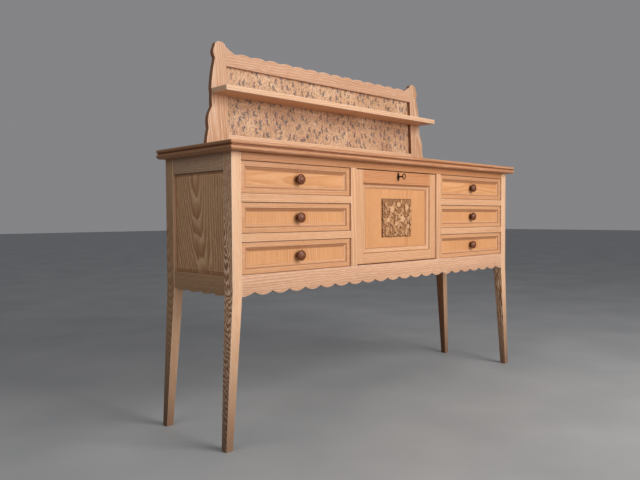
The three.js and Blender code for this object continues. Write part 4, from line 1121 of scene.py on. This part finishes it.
rim = ([places[i, 0] for i in range(columns)] + [places[columns, j] for j in range(lines)]
       + [places[i, lines] for i in range(columns, 0, -1)] + [places[0, j] for j in range(lines, 0, -1)])
behind = [plaque.verts.new((v.co.x, y1 * MM, v.co.z)) for v in rim]
for i in range(len(rim)):
    j = (i + 1) % len(rim)
    plaque.faces.new((rim[j], rim[i], behind[i], behind[j]))
plaque.faces.new(behind)
bmesh.ops.recalc_face_normals(plaque, faces=plaque.faces)
settle("carved_plaque", plaque, carved_oak("carved_waxed_oak"), sawn(box, "z", (40.0, 10.0)), "flap",
       sharp=60.0)


def recoat(name, finish):
    """A CAD node whose shape is right takes a better finish."""
    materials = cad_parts[name].data.materials
    materials.clear()
    materials.append(finish)


recoat("flap_pivot_pin_left", steel)
recoat("flap_pivot_pin_right", steel)


# ---- Lock and key -------------------------------------------------------------------
# A small brass rim lock is screwed inside the flap's top rail, with an iron escutcheon in
# front. The iron key has a ring bow; a half turn throws the bolt up behind the top rail.
iron = forged_metal("blackened_iron", "#261E1A", "#50433A", 0.5)
brass = forged_metal("tarnished_brass", "#8A6B34", "#B59455", 0.38)


def ring_tube(middle, half_y, half_z, radius, turns=40, sides=12):
    """An oval ring of round bar, upright and edge-on to the front."""
    rings = []
    for i in range(turns):
        a = 2 * math.pi * i / turns
        out = Vector((0.0, math.cos(a), math.sin(a)))
        centre = middle + Vector((0.0, half_y * math.cos(a), half_z * math.sin(a)))
        rings.append([tuple(centre + radius * (math.cos(b) * out + math.sin(b) * Vector((1.0, 0.0, 0.0))))
                      for b in (2 * math.pi * j / sides for j in range(sides))])
    solid = loft(rings, closed=True)
    bmesh.ops.recalc_face_normals(solid, faces=solid.faces)
    return solid


x0, x1, y0, y1, z0, z1 = box = cad("key")
KEY_Z = 873.0
SHAFT = 3.0
BOW_LONG, BOW_HIGH, BAR = 16.0, 24.0, 1.8
bow = ring_tube(Vector((0.0, y0 + BOW_LONG / 2, KEY_Z)), BOW_LONG / 2 - BAR, BOW_HIGH / 2 - BAR, BAR)
neck = y0 + BOW_LONG - 1.5
stem = spun([
    (0.2, neck - 1.0), (2.2, neck - 0.6), (2.6, neck + 0.6), (SHAFT + 1.4, neck + 1.4),
    (SHAFT + 1.4, neck + 2.6), (SHAFT - 0.2, neck + 3.4), (SHAFT - 0.2, neck + 7.0), (SHAFT, neck + 8.0),
    (SHAFT, y1 - 0.5), (SHAFT - 0.5, y1), (0.2, y1)], 0.0, KEY_Z, 24)
bit = ease(board((-0.8, 0.8, y1 - 4.8, y1 - 0.4, KEY_Z - 8.0, KEY_Z - 1.0)), 0.2, 1)
settle("key", joined([bow, stem, bit]), iron, sawn(box, "y", (0.0, 0.0)), "key", sharp=40.0)

x0, x1, y0, y1, z0, z1 = box = cad("escutcheon")
WAIST = 0.16
plate = []
for y, inset in ((y1, 0.0), (y0 + 0.3, 0.0), (y0, 0.4)):
    half, tall = (x1 - x0) / 2 - inset, (z1 - z0) / 2 - inset
    plate.append([
        (half * (1.0 - WAIST * math.sin(2 * a) ** 2) * math.cos(a), y, (z0 + z1) / 2 + tall * math.sin(a))
        for a in (2 * math.pi * i / 48 for i in range(48))])
shape = loft(plate)
bmesh.ops.recalc_face_normals(shape, faces=shape.faces)
settle("escutcheon", shape, iron, sawn(box, "z", (0.0, 0.0)), "flap")


def screw_row_tree():
    """Slotted countersunk screw heads in a row, facing the back."""
    tree, given = open_tree("screw_row", {"Count": 2, "Spacing": (0.0, 0.0, 0.02), "Head radius": 0.0025})
    # The rim, the head's height, and the slot's length, width and depth, all as shares of the radius.
    top, high, long, wide, deep = (
        node(tree, "Math", (given["Head radius"], share), operation="MULTIPLY")
        for share in (0.86, 0.32, 2.4, 0.26, 0.3))
    head = node(tree, "GeometryNodeMeshCone", {
        "Vertices": 20, "Radius Top": top, "Radius Bottom": given["Head radius"], "Depth": high})
    bar = node(tree, "GeometryNodeMeshCube", {"Size": node(tree, "CombineXYZ", (long, wide, deep))})
    slot = node(tree, "GeometryNodeTransform", {
        "Geometry": bar, "Translation": node(tree, "CombineXYZ", {"Z": high}), "Rotation": (0.0, 0.0, 0.6)})
    slotted = node(tree, "GeometryNodeMeshBoolean", {"Mesh 1": head, "Mesh 2": slot}, operation="DIFFERENCE")
    return close_row(tree, given, slotted, {"Rotation": (-math.pi / 2, 0.0, 0.0)})


screw_row = screw_row_tree()
SCREW_INSET = 6.0
SCREW_PROUD = 0.2
x0, x1, y0, y1, z0, z1 = box = cad("lock_case")
lie = sawn(box, "x", (0.0, 0.0))
settle("lock_case", ease(from_cad("lock_case"), 0.5, 1), brass, lie, "flap")
step = (0.0, 0.0, z1 - z0 - 2 * SCREW_INSET)
rows = [row_of(screw_row, (x, y1 + SCREW_PROUD, z0 + SCREW_INSET), 2, step, 2.6, brass)
        for x in (x0 + SCREW_INSET, x1 - SCREW_INSET)]
settle("lock_case_screws", joined(rows), brass, lie, "flap", stands_for=())
recoat("lock_bolt", brass)


# ---- Flap stay ----------------------------------------------------------------------
# A flat steel bar is riveted to a bracket on the flap and slides on a stud in the right
# partition, which stops the flap level. All of it is hidden while the flap is shut.
for name, body in (("stay_bar", "stay_bar"), ("stay_bracket", "flap"), ("stay_stud", "cabinet")):
    settle(name, ease(from_cad(name), 0.3, 1, 40.0), steel, sawn(cad(name), "y", (0.0, 0.0)), body)
x0, x1, y0, y1, z0, z1 = box = cad("stay_bracket")
BRACKET_PLATE = 2.0
step = (0.0, 0.0, z1 - z0 - 2 * SCREW_INSET)
start = (x0 + SCREW_INSET, y0 + BRACKET_PLATE + SCREW_PROUD, z0 + SCREW_INSET)
row = row_of(screw_row, start, 2, step, 2.4, steel)
settle("stay_bracket_screws", row, steel, sawn(box, "y", (0.0, 0.0)), "flap", stands_for=())
